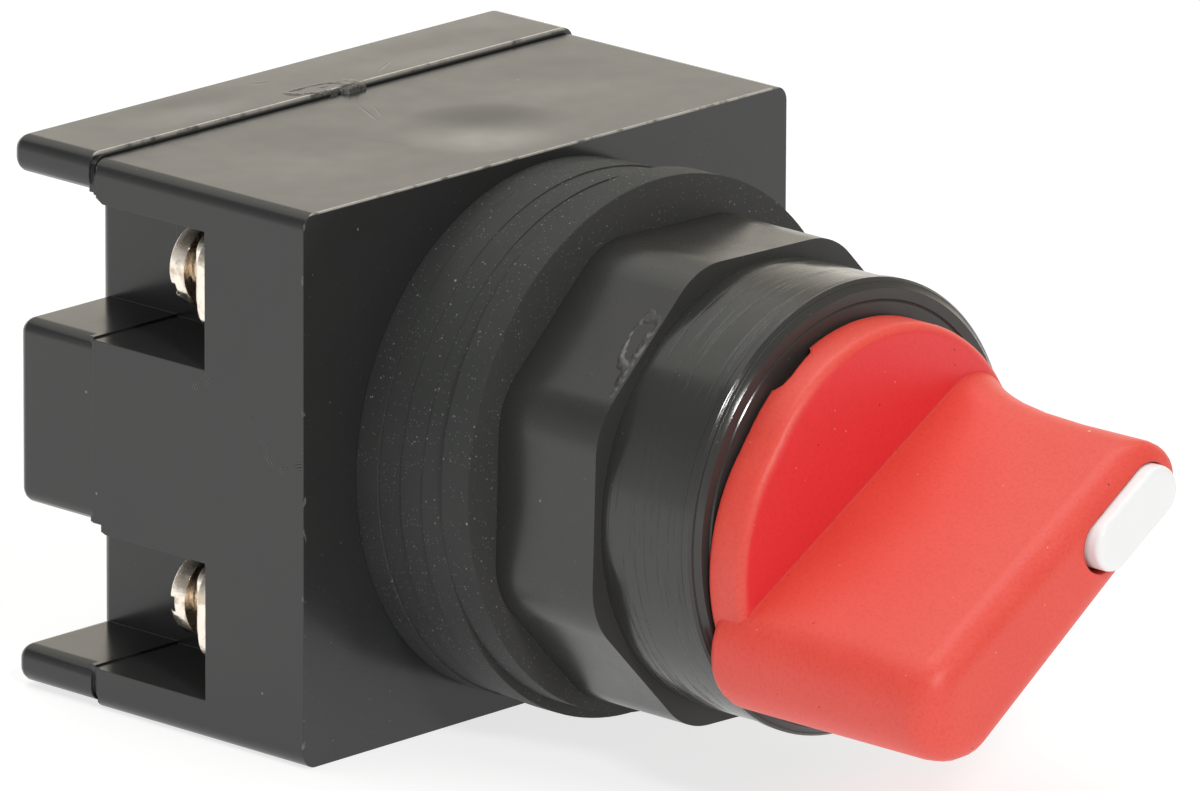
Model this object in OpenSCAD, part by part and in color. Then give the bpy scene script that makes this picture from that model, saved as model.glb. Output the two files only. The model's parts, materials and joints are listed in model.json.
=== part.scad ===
// Panel selector switch: a rotary operator with a sealed contact block behind it.
// Modelled as seen from the front: x to the right, y up, z forward out of the panel.
// The last step turns z forward into the part's own frame, so the knob faces -Y and +Z is up.
// The origin is on the switch axis, where the clamping nut meets the panel gaskets.

/* [Contact block] */
// Width of the contact block
body_w = 54.2; // [53:0.1:60]
// Height of the contact block
body_h = 44.5; // [44:0.1:50]
// Depth of the front housing, panel face to seam
housing_d = 23.1; // [22.6:0.1:28]
// Depth of the rear cover, seam to back
cover_d = 8.95; // [8:0.05:12]
// Radius of the long moulded edges
edge_r = 1.3; // [0.6:0.1:1.6]
// Width and depth of the groove along the seam
seam_groove = 0.25; // [0.2:0.05:0.5]
// Length of the same groove down the ends of the flanges, in the housing
flange_groove = 0.5; // [0.2:0.05:0.7]
// How far the rear cover sits above the front housing
cover_rise = 0.4; // [0:0.1:0.5]
// Radius of the rear cover's moulded edges
cover_edge_r = 1.2; // [0.6:0.1:1.3]

/* [Terminal recesses] */
// How far each recess reaches in from the side
recess_w = 9.3; // [9:0.1:10]
// Height of each recess
recess_h = 11.1; // [10.6:0.1:12]
// Height of a recess centre above or below the switch axis
recess_z = 13.35; // [13:0.05:14]
// Thickness of the housing in front of a recess
recess_front = 10.7; // [10.4:0.1:11.5]
// Extra height of each recess where it runs through the rear cover
cover_recess_extra = 0.55; // [0:0.05:0.8]
// Length and depth of the chamfers where a recess meets the seam
seam_chamfer = 1.1; // [0.6:0.1:1.4]

/* [Panel mounting] */
// Outer diameter of the threaded bushing
bushing_d = 30; // [28:0.1:30.5]
// Length of the bushing in front of the gaskets
bushing_l = 16.9; // [15:0.1:17.6]
// Outer diameter of a panel gasket
gasket_d = 42.7; // [41:0.1:44]
// Hole diameter of a panel gasket
gasket_bore_d = 32.3; // [32.2:0.1:34]
// Thickness of each of the four inner gaskets
gasket_t = 2.38; // [1.6:0.02:3.2]
// Thickness of the foremost gasket
front_gasket_t = 2.9; // [1.6:0.1:3.4]
// How far the foremost gasket sits above centre
front_gasket_rise = 1.05; // [0:0.05:1.05]
// How far the foremost gasket sits to the side
front_gasket_side = -0.4; // [-0.5:0.05:0.5]
// Distance across the flats of the nut
nut_af = 37; // [36.6:0.1:39]
// Corner radius of the nut
nut_corner_r = 6.2; // [4:0.1:8]
// Length of the eight-sided part of the nut
nut_l = 10.3; // [8:0.1:11]
// How far the nut is turned from square with the block
nut_turn = -1.6; // [-20:0.1:20]
// Diameter of the nut's round collar
collar_d = 35.6; // [35:0.1:36.4]
// Length of the collar
collar_l = 10.1; // [9.6:0.1:11]
// Diameter of the bead round the collar's mouth
bead_d = 36; // [35.7:0.1:36.8]
// Diameter of the collar's mouth, which the knob's skirt covers
mouth_d = 28.4; // [27:0.1:29]
// Thickness of the lip round the mouth
lip_t = 1.6; // [1:0.1:2.4]
// Thread clearance between the nut and the bushing
thread_gap = 0.05; // [0.02:0.01:0.08]

/* [Knob] */
// Angle of the pointer from the horizontal in the position shown
knob_angle = 33; // [0:1:60]
// Diameter of the knob's round skirt
skirt_d = 30.4; // [29:0.1:31]
// How far the skirt is drawn out on the tail side
skirt_tail = 2; // [1:0.1:2.6]
// Height of the skirt
skirt_h = 3.4; // [2.8:0.1:4]
// Rounding of the skirt's front edge
skirt_round = 0.9; // [0.5:0.1:1.2]
// Height of the knob from the back of its skirt to its front
knob_h = 23.2; // [20:0.1:26]
// Reach of the wing on the pointer side at its foot
pointer_foot = 14.35; // [13.4:0.05:15]
// Reach of the wing on the pointer side at its front
pointer_tip = 12.4; // [12:0.05:13.4]
// Reach of the wing on the tail side
tail_reach = 19.6; // [18:0.1:20.5]
// How much the wing spreads where it meets the skirt
wing_flare = 0.35; // [0:0.05:0.6]
// Thickness of the wing above the axis at its foot
wing_foot_t = 8.2; // [7.6:0.1:10]
// Thickness of the wing above the axis at its front
wing_tip_t = 8.35; // [6.8:0.05:8.6]
// How much the wing thins at its front for each millimetre towards the pointer
wing_taper = 0.07; // [0:0.01:0.12]
// How much it thins at its foot for each millimetre towards the pointer
foot_taper = 0.128; // [0:0.002:0.16]
// Radius of the wing's front corner at the tail end
wing_corner_r = 3.2; // [2.2:0.1:3.6]
// Radius of the wing's long front edges
wing_edge_r = 2.3; // [1:0.1:2.6]
// Radius of the wing's front edge at the nose
wing_nose_r = 1.2; // [0.6:0.1:1.6]
// Radius of the tail's rear edge, where it stands out past the skirt
tail_foot_r = 0.9; // [0.4:0.1:1.4]
// Gap between the knob's skirt and the collar's front face
knob_gap = 0.35; // [0.3:0.05:0.8]
// Length of the pointer insert
insert_l = 9.95; // [9:0.05:11]
// Width of the pointer insert
insert_w = 4.2; // [3.4:0.1:4.6]
// Depth of the pointer insert in the knob
insert_depth = 2.6; // [1.8:0.1:3.4]
// How far the pointer insert stands proud
insert_proud = 1.15; // [0.2:0.05:1.4]
// Distance of the pointer insert from the tip of the wing
insert_margin = 1.5; // [0.8:0.1:2]
// Rounding of the insert's front edge
insert_ease = 0.5; // [0.2:0.05:0.6]
// How much longer than the insert its pocket is, at the inner end
pocket_extra = 0.35; // [0:0.05:1]
// Clearance round the insert in its pocket
insert_gap = 0.1; // [0.05:0.01:0.2]

/* [Shaft and cam] */
// Diameter of the shaft
shaft_d = 12; // [11:0.1:13]
// Running clearance round the shaft, on the radius
shaft_gap = 0.05; // [0.03:0.01:0.09]
// Diameter of the shaft's stub inside the knob
stub_d = 9; // [8.4:0.1:9.6]
// Length of the stub inside the knob
stub_l = 8.4; // [7:0.1:9.4]
// Depth of the flat that keys the stub
stub_flat = 1.2; // [0.6:0.1:1.6]
// Clearance round the stub in the knob
stub_gap = 0.04; // [0.02:0.01:0.08]
// Diameter of the cam disc
cam_d = 30; // [29:0.1:30.4]
// Thickness of the cam disc under its track
cam_t = 1.5; // [1.3:0.1:1.7]
// Width of the cam track
track_w = 5.4; // [5:0.1:6.4]
// Lift of the cam track, and the travel of a plunger
lift = 3.2; // [2.4:0.1:3.3]
// Turn of the knob from one end position to the other
throw_angle = 120; // [100:1:130]
// Thickness of the thrust washer in front of the cam
thrust_t = 0.5; // [0.4:0.05:0.8]
// Outer diameter of the thrust washer
thrust_d = 22; // [18:0.5:26]
// Diameter of the rubber cord of the shaft seal
seal_cord_d = 1.2; // [1:0.05:1.5]
// Diameter of the detent ball
ball_d = 4; // [3.4:0.1:4.4]
// Depth of the detent notches in the cam's rim
notch_depth = 0.5; // [0.3:0.05:0.7]

/* [Knob screw] */
// Diameter of the screw that holds the knob
knob_screw_d = 3.8; // [3:0.1:4]
// Diameter of its head
knob_screw_head_d = 6.8; // [6:0.1:7.2]
// Height of its head
knob_screw_head_h = 2.6; // [2:0.1:3]
// How far in front of the panel seat the head sits inside the shaft
knob_screw_seat = 4; // [2:0.1:6]
// Length of the screw under its head
knob_screw_l = 29; // [27:0.1:31]

/* [Contacts] */
// Height of the two plungers above and below the axis
plunger_z = 12.3; // [12:0.05:12.5]
// Diameter of a plunger
plunger_d = 4.4; // [4:0.1:4.8]
// Clearance round a plunger in its guide
plunger_gap = 0.06; // [0.03:0.01:0.09]
// Clearance between a plunger's tip and the cam track
tip_gap = 0.06; // [0.04:0.01:0.1]
// Thickness of the guide plate
guide_t = 2.25; // [2:0.05:2.5]
// Gap between the top of the cam track and the guide plate
cam_gap = 0.25; // [0.15:0.05:0.4]
// Half length of a contact bridge
bridge_half = 11; // [10.6:0.1:11.6]
// Width of a contact bridge
bridge_w = 4.6; // [4:0.1:5.2]
// Thickness of a contact bridge
bridge_t = 1; // [0.8:0.05:1.2]
// Distance of a contact button from the middle
button_x = 9; // [8.6:0.1:9.4]
// Diameter of a contact button
button_d = 3.2; // [2.8:0.1:3.6]
// Height of a contact button
button_h = 0.8; // [0.6:0.05:1]
// Gap left between closed contact buttons
button_gap = 0.08; // [0.05:0.01:0.15]
// Mean diameter of a contact spring
spring_d = 5; // [4.6:0.1:5.4]
// Wire diameter of a contact spring
spring_wire = 0.6; // [0.4:0.05:0.7]
// Number of turns of a contact spring
spring_turns = 5; // [4:1:6]

/* [Terminals] */
// Thickness of a terminal strip
terminal_t = 0.9; // [0.7:0.05:1.1]
// Width and height of a terminal plate in its recess
terminal_w = 7.8; // [7:0.1:8.2]
// Corner radius of a terminal plate
terminal_r = 2.4; // [1:0.1:2.6]
// Height of the terminal plates above the middle of their recesses
terminal_rise = 0.95; // [-1:0.05:1.1]
// Width of the strip that runs inside
strip_w = 6; // [5:0.1:6.4]
// Distance of a terminal screw from the side of the block
screw_inset = 4; // [3.9:0.1:5.2]
// Height of the terminal screws above the middle of their recesses
screw_rise = 1.5; // [-1:0.1:1.5]
// Diameter of a terminal screw's thread
screw_d = 3.5; // [3:0.1:4]
// Diameter of a terminal screw's head
screw_head_d = 6.8; // [6:0.1:7]
// Height of a terminal screw's head
screw_head_h = 2.4; // [1.8:0.1:2.6]
// Length of a terminal screw under its head
screw_l = 9; // [7:0.1:10]
// How much deeper than the screw its hole is
screw_hole_extra = 1; // [0.5:0.1:1.5]
// How far a terminal screw stands backed out for wiring
screw_out = 1.2; // [0.4:0.1:1.8]
// Thickness of a clamp washer
clamp_t = 0.8; // [0.6:0.05:1.2]
// Width and height of a clamp washer
clamp_w = 6.4; // [5.6:0.1:7.4]
// Corner radius of a clamp washer
clamp_r = 1.4; // [1:0.1:2.6]
// Clearance of screws in the holes that they pass
screw_gap = 0.08; // [0.04:0.01:0.15]

/* [Rear cover] */
// Thickness of the cover's back wall
back_t = 2.4; // [2:0.1:2.8]
// Distance of the two cover screws from the sides of the block
cover_screw_inset = 5.5; // [4.8:0.1:6]
// Diameter of a cover screw's thread
cover_screw_d = 3; // [2.6:0.1:3.2]
// Diameter of a cover screw's head
cover_head_d = 5.6; // [5:0.1:5.8]
// Height of a cover screw's head
cover_head_h = 2; // [1.6:0.1:2.2]
// Length of a cover screw under its head
cover_screw_l = 13; // [11:0.1:14]
// Depth of the counterbore over a cover screw's head
cover_head_sink = 0.8; // [0.4:0.1:1]

/* [Hidden] */
$fn = 96;
// Cuts run past the faces that they open by this much
eps = 0.5;
// Planes across the axis, from the panel seat back
inner_gaskets = 4;
face_z = -(inner_gaskets * gasket_t + front_gasket_t);
seam_z = face_z - housing_d;
back_z = seam_z - cover_d;
terminal_z = face_z - recess_front;
strip_gap = 0.05;
guide_z = terminal_z + strip_gap;
cavity_z = guide_z + guide_t + strip_gap;
track_top_z = cavity_z + cam_gap;
track_low_z = track_top_z + lift;
cam_front_z = track_low_z + cam_t;
thrust_gap = 0.03;
pocket_z = cam_front_z + thrust_t + 2 * thrust_gap;
collar_front_z = nut_l + collar_l;
skirt_z = collar_front_z + knob_gap;
knob_front_z = skirt_z + knob_h;
// The side wall of the recesses and the cavity between them
recess_x = body_w / 2 - recess_w;
cavity_trim = 0.2;
cavity_x = cam_d / 2 - cavity_trim;
cover_screw_x = body_w / 2 - cover_screw_inset;
cavity_y = 18;
pocket_gap = 0.2;
guide_gap = 0.1;
hub_r = 9;
hub_l = 3;
// Contact heights, front to back
strip_back_z = terminal_z - terminal_t;
button_face_z = strip_back_z - button_h;
bridge_front_z = button_face_z - button_gap - button_h;
spring_seat_z = seam_z - 3;
screw_x = body_w / 2 - screw_inset;
red = "#e0402f";
black = "#2a2a29";
rubber = "#3c403c";
nickel = "#c9c2b2";
brass = "#c3a35c";
steel = "#9a9a9a";
silver = "#e3e3e0";
amber = "#8a5a2c";
ivory = "#d8cfb4";

// A rounded rectangle from circles and squares, so its corners stay true arcs
module rounded_rect(w, h, r) {
    square([w - 2 * r, h], center = true);
    square([w, h - 2 * r], center = true);
    for (x = [-1, 1], y = [-1, 1])
        translate([x * (w / 2 - r), y * (h / 2 - r)]) circle(r);
}

// A flat ring between two planes
module ring(outer_d, inner_d, z, t) {
    translate([0, 0, z]) linear_extrude(t) difference() {
        circle(d = outer_d);
        circle(d = inner_d);
    }
}

// The four terminal places: the children go to each, mirrored from the upper right one
module at_terminal(side, level) {
    mirror([side < 0 ? 1 : 0, 0, 0]) mirror([0, level < 0 ? 1 : 0, 0]) children();
}

module each_terminal() {
    for (side = [-1, 1], level = [-1, 1]) at_terminal(side, level) children();
}

// Section of the chamfer over a recess, from the seam forward: the web's underside for the
// lower recesses and the flange's underside for the upper ones
module recess_chamfer(level) {
    low = recess_z - recess_h / 2;
    high = recess_z + recess_h / 2;
    c = seam_chamfer;
    if (level < 0)
        polygon([[low + eps, -eps], [low - 0.65 * c, -eps], [low - 0.65 * c, 0.85 * c],
            [low - 0.15 * c, 0.85 * c], [low, 1.3 * c], [low + eps, 1.3 * c]]);
    else
        polygon([[high - eps, -eps], [high + 0.5 * c, -eps], [high + 0.45 * c, 0.35 * c],
            [high, 1.1 * c], [high - eps, 1.1 * c]]);
}

// The hole of one cover screw, a little deeper than the screw
module cover_screw_hole(side, d) {
    translate([side * cover_screw_x, 0, back_z - eps])
        cylinder(h = eps + cover_head_sink + cover_head_h + cover_screw_l + 1, d = d);
}

// The front housing: block, threaded bushing, cam pocket, contact cavity and four recesses
module front_housing() {
    color(black) difference() {
        union() {
            translate([0, 0, seam_z + seam_groove])
                linear_extrude(housing_d - seam_groove) rounded_rect(body_w, body_h, edge_r);
            translate([0, 0, seam_z]) linear_extrude(seam_groove + eps)
                rounded_rect(body_w - 2 * seam_groove, body_h - 2 * seam_groove, edge_r);
            // The web has no groove
            translate([0, 0, seam_z]) linear_extrude(seam_groove + eps)
                square([body_w, 2 * recess_z], center = true);
            translate([0, 0, face_z - 1]) cylinder(h = bushing_l - face_z + 1, d = bushing_d);
        }
        // Shaft bore, cam pocket and contact cavity
        translate([0, 0, pocket_z - eps])
            cylinder(h = bushing_l - pocket_z + 2 * eps, r = shaft_d / 2 + shaft_gap);
        translate([0, 0, cavity_z - eps])
            cylinder(h = pocket_z - cavity_z + eps, d = cam_d + 2 * pocket_gap);
        translate([-cavity_x, -cavity_y, seam_z - eps])
            cube([2 * cavity_x, 2 * cavity_y, cavity_z - seam_z + eps]);
        // Pocket of the detent ball and its spring, opening into the cam pocket
        translate([0, 0, detent_z]) rotate([0, 90, 0])
            cylinder(h = detent_end_x, d = ball_d + 2 * detent_gap);
        for (side = [-1, 1], level = [-1, 1]) at_terminal(side, level) {
            // Recess, open to the side and to the back, chamfered where it meets the seam
            translate([recess_x, recess_z - recess_h / 2, seam_z - eps])
                cube([recess_w + eps, recess_h, terminal_z - seam_z + eps]);
            translate([recess_x, 0, seam_z]) rotate([90, 0, 90]) linear_extrude(recess_w + eps)
                recess_chamfer(level);
            // Slot for the strip and hole for the screw's end
            translate([cavity_x - eps, recess_z - strip_w / 2 - strip_gap, strip_back_z - strip_gap])
                cube([recess_x - cavity_x + 2 * eps, strip_w + 2 * strip_gap, terminal_t + 2 * strip_gap]);
            translate([screw_x, recess_z + level * screw_rise, terminal_z - eps])
                cylinder(h = screw_tip_z + screw_hole_extra - terminal_z + eps,
                    d = screw_d + 2 * screw_gap);
        }
        for (side = [-1, 1]) cover_screw_hole(side, cover_screw_d + 2 * screw_gap);
        // The groove is wider down the ends of the flanges
        for (x = [-1, 1], y = [-1, 1])
            translate([x * body_w / 2, y * (recess_z + body_h / 2) / 2, seam_z])
                cube([2 * seam_groove, body_h / 2 - recess_z + eps, 2 * flange_groove], center = true);
    }
}

// One bar of the rear cover with its outer and rear edges rounded, from a gap behind the seam
module cover_bar(w, h, depth, gap) {
    r = cover_edge_r;
    hull() for (x = [-1, 1], y = [-1, 1]) translate([x * (w / 2 - r), y * (h / 2 - r), 0]) {
        translate([0, 0, seam_z - depth + r]) sphere(r, $fn = 20);
        translate([0, 0, seam_z - gap - 0.1]) cylinder(h = 0.1, r = r, $fn = 20);
    }
}

// Heights of the cover's openings, which follow the housing's recesses
cover_block_h = 2 * recess_z - recess_h - cover_recess_extra;
cover_flange_h = (body_h - 2 * recess_z - recess_h - cover_recess_extra) / 2;
cover_web_w = 2 * recess_x;

// The rear cover: two flanges, a middle block and a central web over the contacts
module rear_cover() {
    color(black) translate([0, cover_rise, 0]) difference() {
        union() {
            for (y = [-1, 1]) translate([0, y * (body_h - cover_flange_h) / 2, 0])
                cover_bar(body_w, cover_flange_h, y > 0 ? cover_d : cover_d - cover_low_step,
                    seam_groove);
            cover_bar(body_w, cover_block_h, cover_d - cover_block_step, 0);
            cover_bar(cover_web_w, body_h - 1, cover_d - cover_web_step, seam_groove);
            // The step that fits the seam groove
            translate([0, 0, seam_z - seam_groove - 0.2]) linear_extrude(seam_groove + 0.2)
                difference() {
                    rounded_rect(body_w - 2 * seam_groove, body_h - 2 * seam_groove, edge_r);
                    each_terminal() translate([recess_x, cover_block_h / 2])
                        square([recess_w + eps, recess_h + cover_recess_extra]);
                }
        }
        // The space over the contact springs, with a round seat for each
        difference() {
            translate([-cavity_x, -cavity_y, back_z + back_t])
                cube([2 * cavity_x, 2 * cavity_y, cover_d]);
            for (y = [-1, 1]) translate([0, y * plunger_z - cover_rise, back_z])
                cylinder(h = seam_z - back_z, d = spring_boss_d);
            translate([-cavity_x, -cover_rib_t / 2, back_z]) cube([2 * cavity_x, cover_rib_t, cover_d]);
        }
        for (y = [-1, 1]) translate([0, y * plunger_z - cover_rise, spring_seat_z])
            cylinder(h = 10, d = spring_cup_d);
        for (side = [-1, 1]) translate([0, -cover_rise, 0]) {
            cover_screw_hole(side, cover_screw_d + 2 * screw_gap);
            translate([side * cover_screw_x, 0, back_z - eps])
                cylinder(h = cover_head_sink + cover_head_h + eps, d = cover_head_d + 0.4);
        }
    }
}

// How much less deep than the upper flange the cover's other parts are
cover_low_step = 0.2;
cover_block_step = 0.6;
cover_web_step = 0.35;
cover_rib_t = 2;
spring_boss_d = 10;
spring_cup_d = spring_d + spring_wire + 0.8;

// Panel gaskets, numbered from the housing forward
gasket_lean = [[0, 0], [0.1, 0.15], [0, 0.05], [-0.1, -0.05],
    [front_gasket_side, front_gasket_rise]];

module panel_gasket(i) {
    t = i == inner_gaskets ? front_gasket_t : gasket_t;
    color(rubber) translate([gasket_lean[i][0], gasket_lean[i][1], 0])
        ring(gasket_d, gasket_bore_d, face_z + i * gasket_t, t);
}

// An eight-sided outline with round corners, its flats square to the axes
module octagon(af, r) {
    inner = (af / 2 - r) / cos(22.5);
    corners = [for (k = [0:7]) inner * [cos(22.5 + 45 * k), sin(22.5 + 45 * k)]];
    polygon([for (k = [0:7], s = [-1, 1])
        corners[k] + r * [cos(22.5 + 45 * k + 22.5 * s), sin(22.5 + 45 * k + 22.5 * s)]]);
    for (c = corners) translate(c) circle(r);
}

// The clamping nut: an eight-sided nut and a round collar moulded in one
module clamping_nut() {
    bead_l = 1.6;
    bead_c = 0.75;
    groove = 0.12;
    face_line_r = bead_d / 2 - 1.7;
    br = bead_d / 2;
    front = collar_front_z;
    color(black) difference() {
        union() {
            rotate([0, 0, nut_turn]) linear_extrude(nut_l) octagon(nut_af, nut_corner_r);
            rotate_extrude() polygon([[collar_d / 2, 1],
                [collar_d / 2, front - bead_l], [br, front - bead_l + 0.25], [br, front - bead_c],
                [br - 0.2, front - bead_c + 0.2], [br - 0.2 - groove, front - bead_c + 0.22],
                [br - 0.2 - groove, front - bead_c + 0.34], [br - 0.36, front - bead_c + 0.36],
                [br - bead_c, front], [face_line_r + groove, front], [face_line_r, front - groove],
                [face_line_r - groove, front], [mouth_d / 2 - 1, front], [mouth_d / 2 - 1, 1]]);
        }
        translate([0, 0, -eps])
            cylinder(h = front - lip_t + eps, r = bushing_d / 2 + thread_gap);
        cylinder(h = front + eps, d = mouth_d);
    }
}

// One disc of the knob's skirt, its front edge rounded
module skirt_disc(r) {
    e = skirt_round;
    rotate_extrude() polygon(concat([[0, 0], [r, 0]],
        [for (k = [0:3]) [r - e * (1 - cos(30 * k)), skirt_h - e * (1 - sin(30 * k))]],
        [[0, skirt_h]]));
}

// The skirt: round, and drawn out towards the tail by two smaller discs
module skirt() {
    for (t = [0, 0.5, 1])
        translate([-1.5 * skirt_tail * t, 0, 0]) skirt_disc(skirt_d / 2 - 0.5 * skirt_tail * t);
}

// Blind hollow in the wing's tail, so that the moulding has even walls
tail_hollow_x = 12.6;
tail_hollow_r = 2.8;
tail_hollow_wall = 5;

function mix(a, b, t) = a + (b - a) * t;

// Share of the wing's height above the floor of the flats
function wing_share(z) = max(0, (z - skirt_h) / (knob_h - skirt_h));

// Radii and centres of the wing's round nose and tail at a height
function wing_r(x, z) = mix(wing_foot_t - foot_taper * x, wing_tip_t - wing_taper * x,
    wing_share(z)) / 2;
function nose_r(z) = wing_r(nose_at, z);
function tail_r(z) = wing_r(tail_at, z);
function nose_x(z) = mix(pointer_tip - nose_r(knob_h), pointer_foot - nose_r(0),
    pow(1 - wing_share(z), 4));
function tail_x(z) = tail_r(z) - tail_reach;

wing_foot_z = 0.2;
nose_at = 9;
tail_at = -14.5;
side_turn = 88;
// Stations round the wing: share of the way from nose to tail, and direction of the wall
wing_stations = concat(
    [for (i = [0:16]) [0, side_turn * (i - 8) / 8]],
    [for (i = [1:5]) [i / 6, side_turn]],
    [for (i = [0:16]) [1, 180 + (180 - side_turn) * (i - 8) / 8]],
    [for (i = [1:5]) [1 - i / 6, 360 - side_turn]]);

// Rounding of the front edge: small at the nose, larger along the sides, largest at the tail
function front_r(at) = wing_edge_r
    + (wing_nose_r - wing_edge_r) * (1 - at[0]) * pow(max(0, cos(at[1])), 1.5)
    + (wing_corner_r - wing_edge_r) * at[0] * pow(max(0, -cos(at[1])), 1.5);

// Inset of the rounded rear edge of the tail at a height
function foot_inset(z) = let (t = max(0, 1 - (z - wing_foot_z) / tail_foot_r))
    tail_foot_r * (1 - sqrt(1 - t * t));

// One ring of the wing: the wall at a height, or the front rounding at a turn of it
function wing_ring(z, turn) = [for (at = wing_stations)
    let (e = front_r(at), h = turn < 0 ? z : knob_h - e * (1 - sin(turn)),
        flare = wing_flare * (1 - at[0]) * pow(1 - wing_share(h), 10),
        inset = turn < 0 ? at[0] * foot_inset(h) : e * (1 - cos(turn)),
        r = mix(nose_r(h), tail_r(h), at[0]) + flare - inset)
    [mix(nose_x(h), tail_x(h), at[0]) + r * cos(at[1]), r * sin(at[1]), h]];

// The wing of the knob: lofted from its foot to its front, then rounded over
module wing() {
    foot = [for (t = [0, 0.1, 0.35, 1]) wing_foot_z + t * tail_foot_r];
    shares = [0, 0.03, 0.06, 0.1, 0.16, 0.25, 0.4, 0.6];
    heights = concat(foot, [for (f = shares) mix(skirt_h, knob_h, f) - 0.1]);
    rings = concat([for (z = heights) wing_ring(z, -1)],
        [for (k = [0:5]) wing_ring(0, 18 * k)]);
    n = len(wing_stations);
    m = len(rings);
    sides = [for (j = [0:m - 2], i = [0:n - 1])
        let (a = n * j + i, b = n * j + (i + 1) % n)
        each [[a, a + n, b + n], [a, b + n, b]]];
    // Both ends are fans from the middle of the nose
    tip = 8;
    ends = [for (k = [1:n - 2]) let (a = (tip + k) % n, b = (tip + k + 1) % n, f = n * (m - 1))
        each [[tip, a, b], [f + tip, f + b, f + a]]];
    polyhedron([for (ring = rings) each ring], concat(sides, ends));
}

// Outline of the pointer insert, and of its pocket with a larger gap and length
module insert_outline(gap, extra) {
    inner_x = pointer_tip - insert_margin - insert_l + insert_w / 2 - extra;
    outer_x = pointer_tip - insert_margin - insert_w / 2;
    for (x = [inner_x, outer_x]) translate([x, 0]) circle(insert_w / 2 + gap, $fn = 40);
    translate([inner_x, -insert_w / 2 - gap]) square([outer_x - inner_x, insert_w + 2 * gap]);
}

// The stub of the shaft, keyed by one flat
module stub_outline(gap) {
    intersection() {
        circle(stub_d / 2 + gap);
        translate([-stub_d, -stub_d]) square([2 * stub_d, stub_d * 1.5 - stub_flat + gap]);
    }
}

// The knob: skirt with two flats beside a thick wing, hub and keyed socket
module knob() {
    notch_at = 121.5;
    // Outline of the bite: distance along the edge and depth from the back
    notch = [[-2.4, -1], [-2.4, 0.1], [-2, 0.5], [0.7, 0.75], [1.7, 0.6], [2.3, 0.15], [2.5, -1]];
    color(red) rotate([0, 0, knob_angle]) difference() {
        union() {
            translate([0, 0, skirt_z]) {
                skirt();
                wing();
            }
            translate([0, 0, skirt_z - hub_l]) cylinder(h = hub_l + 1, r = hub_r);
        }
        // Socket of the stub and pilot hole of the screw
        translate([0, 0, skirt_z - hub_l - eps])
            linear_extrude(stub_end_z - skirt_z + hub_l + eps + 0.2) stub_outline(stub_gap);
        translate([0, 0, stub_end_z - 1])
            cylinder(h = knob_screw_end_z + 1.6 - stub_end_z, d = knob_screw_d + 2 * stub_gap);
        // Pocket of the pointer insert
        translate([0, 0, knob_front_z - insert_depth]) linear_extrude(20)
            insert_outline(insert_gap, pocket_extra);
        // Hollow of the wing's tail, from behind
        translate([-tail_hollow_x, 0, skirt_z - hub_l - eps])
            cylinder(h = hub_l + eps + knob_h - tail_hollow_wall, r = tail_hollow_r);
        // The bite in the back edge of the skirt
        rotate([0, 0, notch_at - knob_angle])
            translate([skirt_d / 2 - 2, 0, skirt_z]) rotate([90, 0, 90])
                linear_extrude(6) polygon(notch);
    }
}

// The pointer insert: a white bar with round ends, its front edge rounded over
module pointer_insert() {
    e = insert_ease;
    front = knob_front_z + insert_proud;
    back = knob_front_z - insert_depth + 0.05;
    color("white") rotate([0, 0, knob_angle]) hull() {
        translate([0, 0, back]) linear_extrude(front - e - back) insert_outline(0, 0);
        for (k = [1:3]) translate([0, 0, back])
            linear_extrude(front - e + e * sin(30 * k) - back)
                insert_outline(-e * (1 - cos(30 * k)), 0);
    }
}

shoulder_z = skirt_z - hub_l;
stub_end_z = shoulder_z + stub_l;
knob_screw_end_z = knob_screw_seat + knob_screw_l;

// The screw that holds the knob, fitted from inside the hollow shaft
module knob_screw() {
    color(steel) difference() {
        union() {
            translate([0, 0, knob_screw_seat - knob_screw_head_h])
                cylinder(h = knob_screw_head_h, d = knob_screw_head_d);
            translate([0, 0, knob_screw_seat - 0.1])
                cylinder(h = knob_screw_l + 0.1, d = knob_screw_d);
        }
        translate([-5, -0.5, knob_screw_seat - knob_screw_head_h - eps]) cube([10, 1, 1.1 + eps]);
    }
}

// Height of the cam track over the round: up, flat, down, flat
track_flat = (360 - 2 * throw_angle) / 2;
// The two plungers stand at 90 and 270 degrees
upper_at = 90;
function lift_at(a) =
    let (u = (a - (upper_at - throw_angle) + 720) % 360)
    u < throw_angle ? lift * u / throw_angle :
    u < throw_angle + track_flat ? lift :
    u < 2 * throw_angle + track_flat ? lift * (2 * throw_angle + track_flat - u) / throw_angle : 0;

// The cam track: a ring whose back face rises and falls round the axis
module cam_track() {
    steps = 72;
    inner_r = cam_d / 2 - track_w;
    outer_r = cam_d / 2 - 0.15;
    base = cam_t / 2;
    points = [for (k = [0:steps - 1])
        let (a = k * 360 / steps, c = cos(a), s = sin(a), z = track_low_z - lift_at(a))
        each [[inner_r * c, inner_r * s, track_low_z + base], [outer_r * c, outer_r * s, track_low_z + base],
              [outer_r * c, outer_r * s, z], [inner_r * c, inner_r * s, z]]];
    quads = [for (k = [0:steps - 1], j = [0:3])
        let (n = (k + 1) % steps, i = (j + 1) % 4)
        [4 * k + j, 4 * n + j, 4 * n + i, 4 * k + i]];
    polyhedron(points, [for (q = quads) each [[q[0], q[1], q[2]], [q[0], q[2], q[3]]]]);
}

seal_z = 11;
seal_groove_r = shaft_d / 2 + shaft_gap - seal_cord_d - 0.02;

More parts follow.
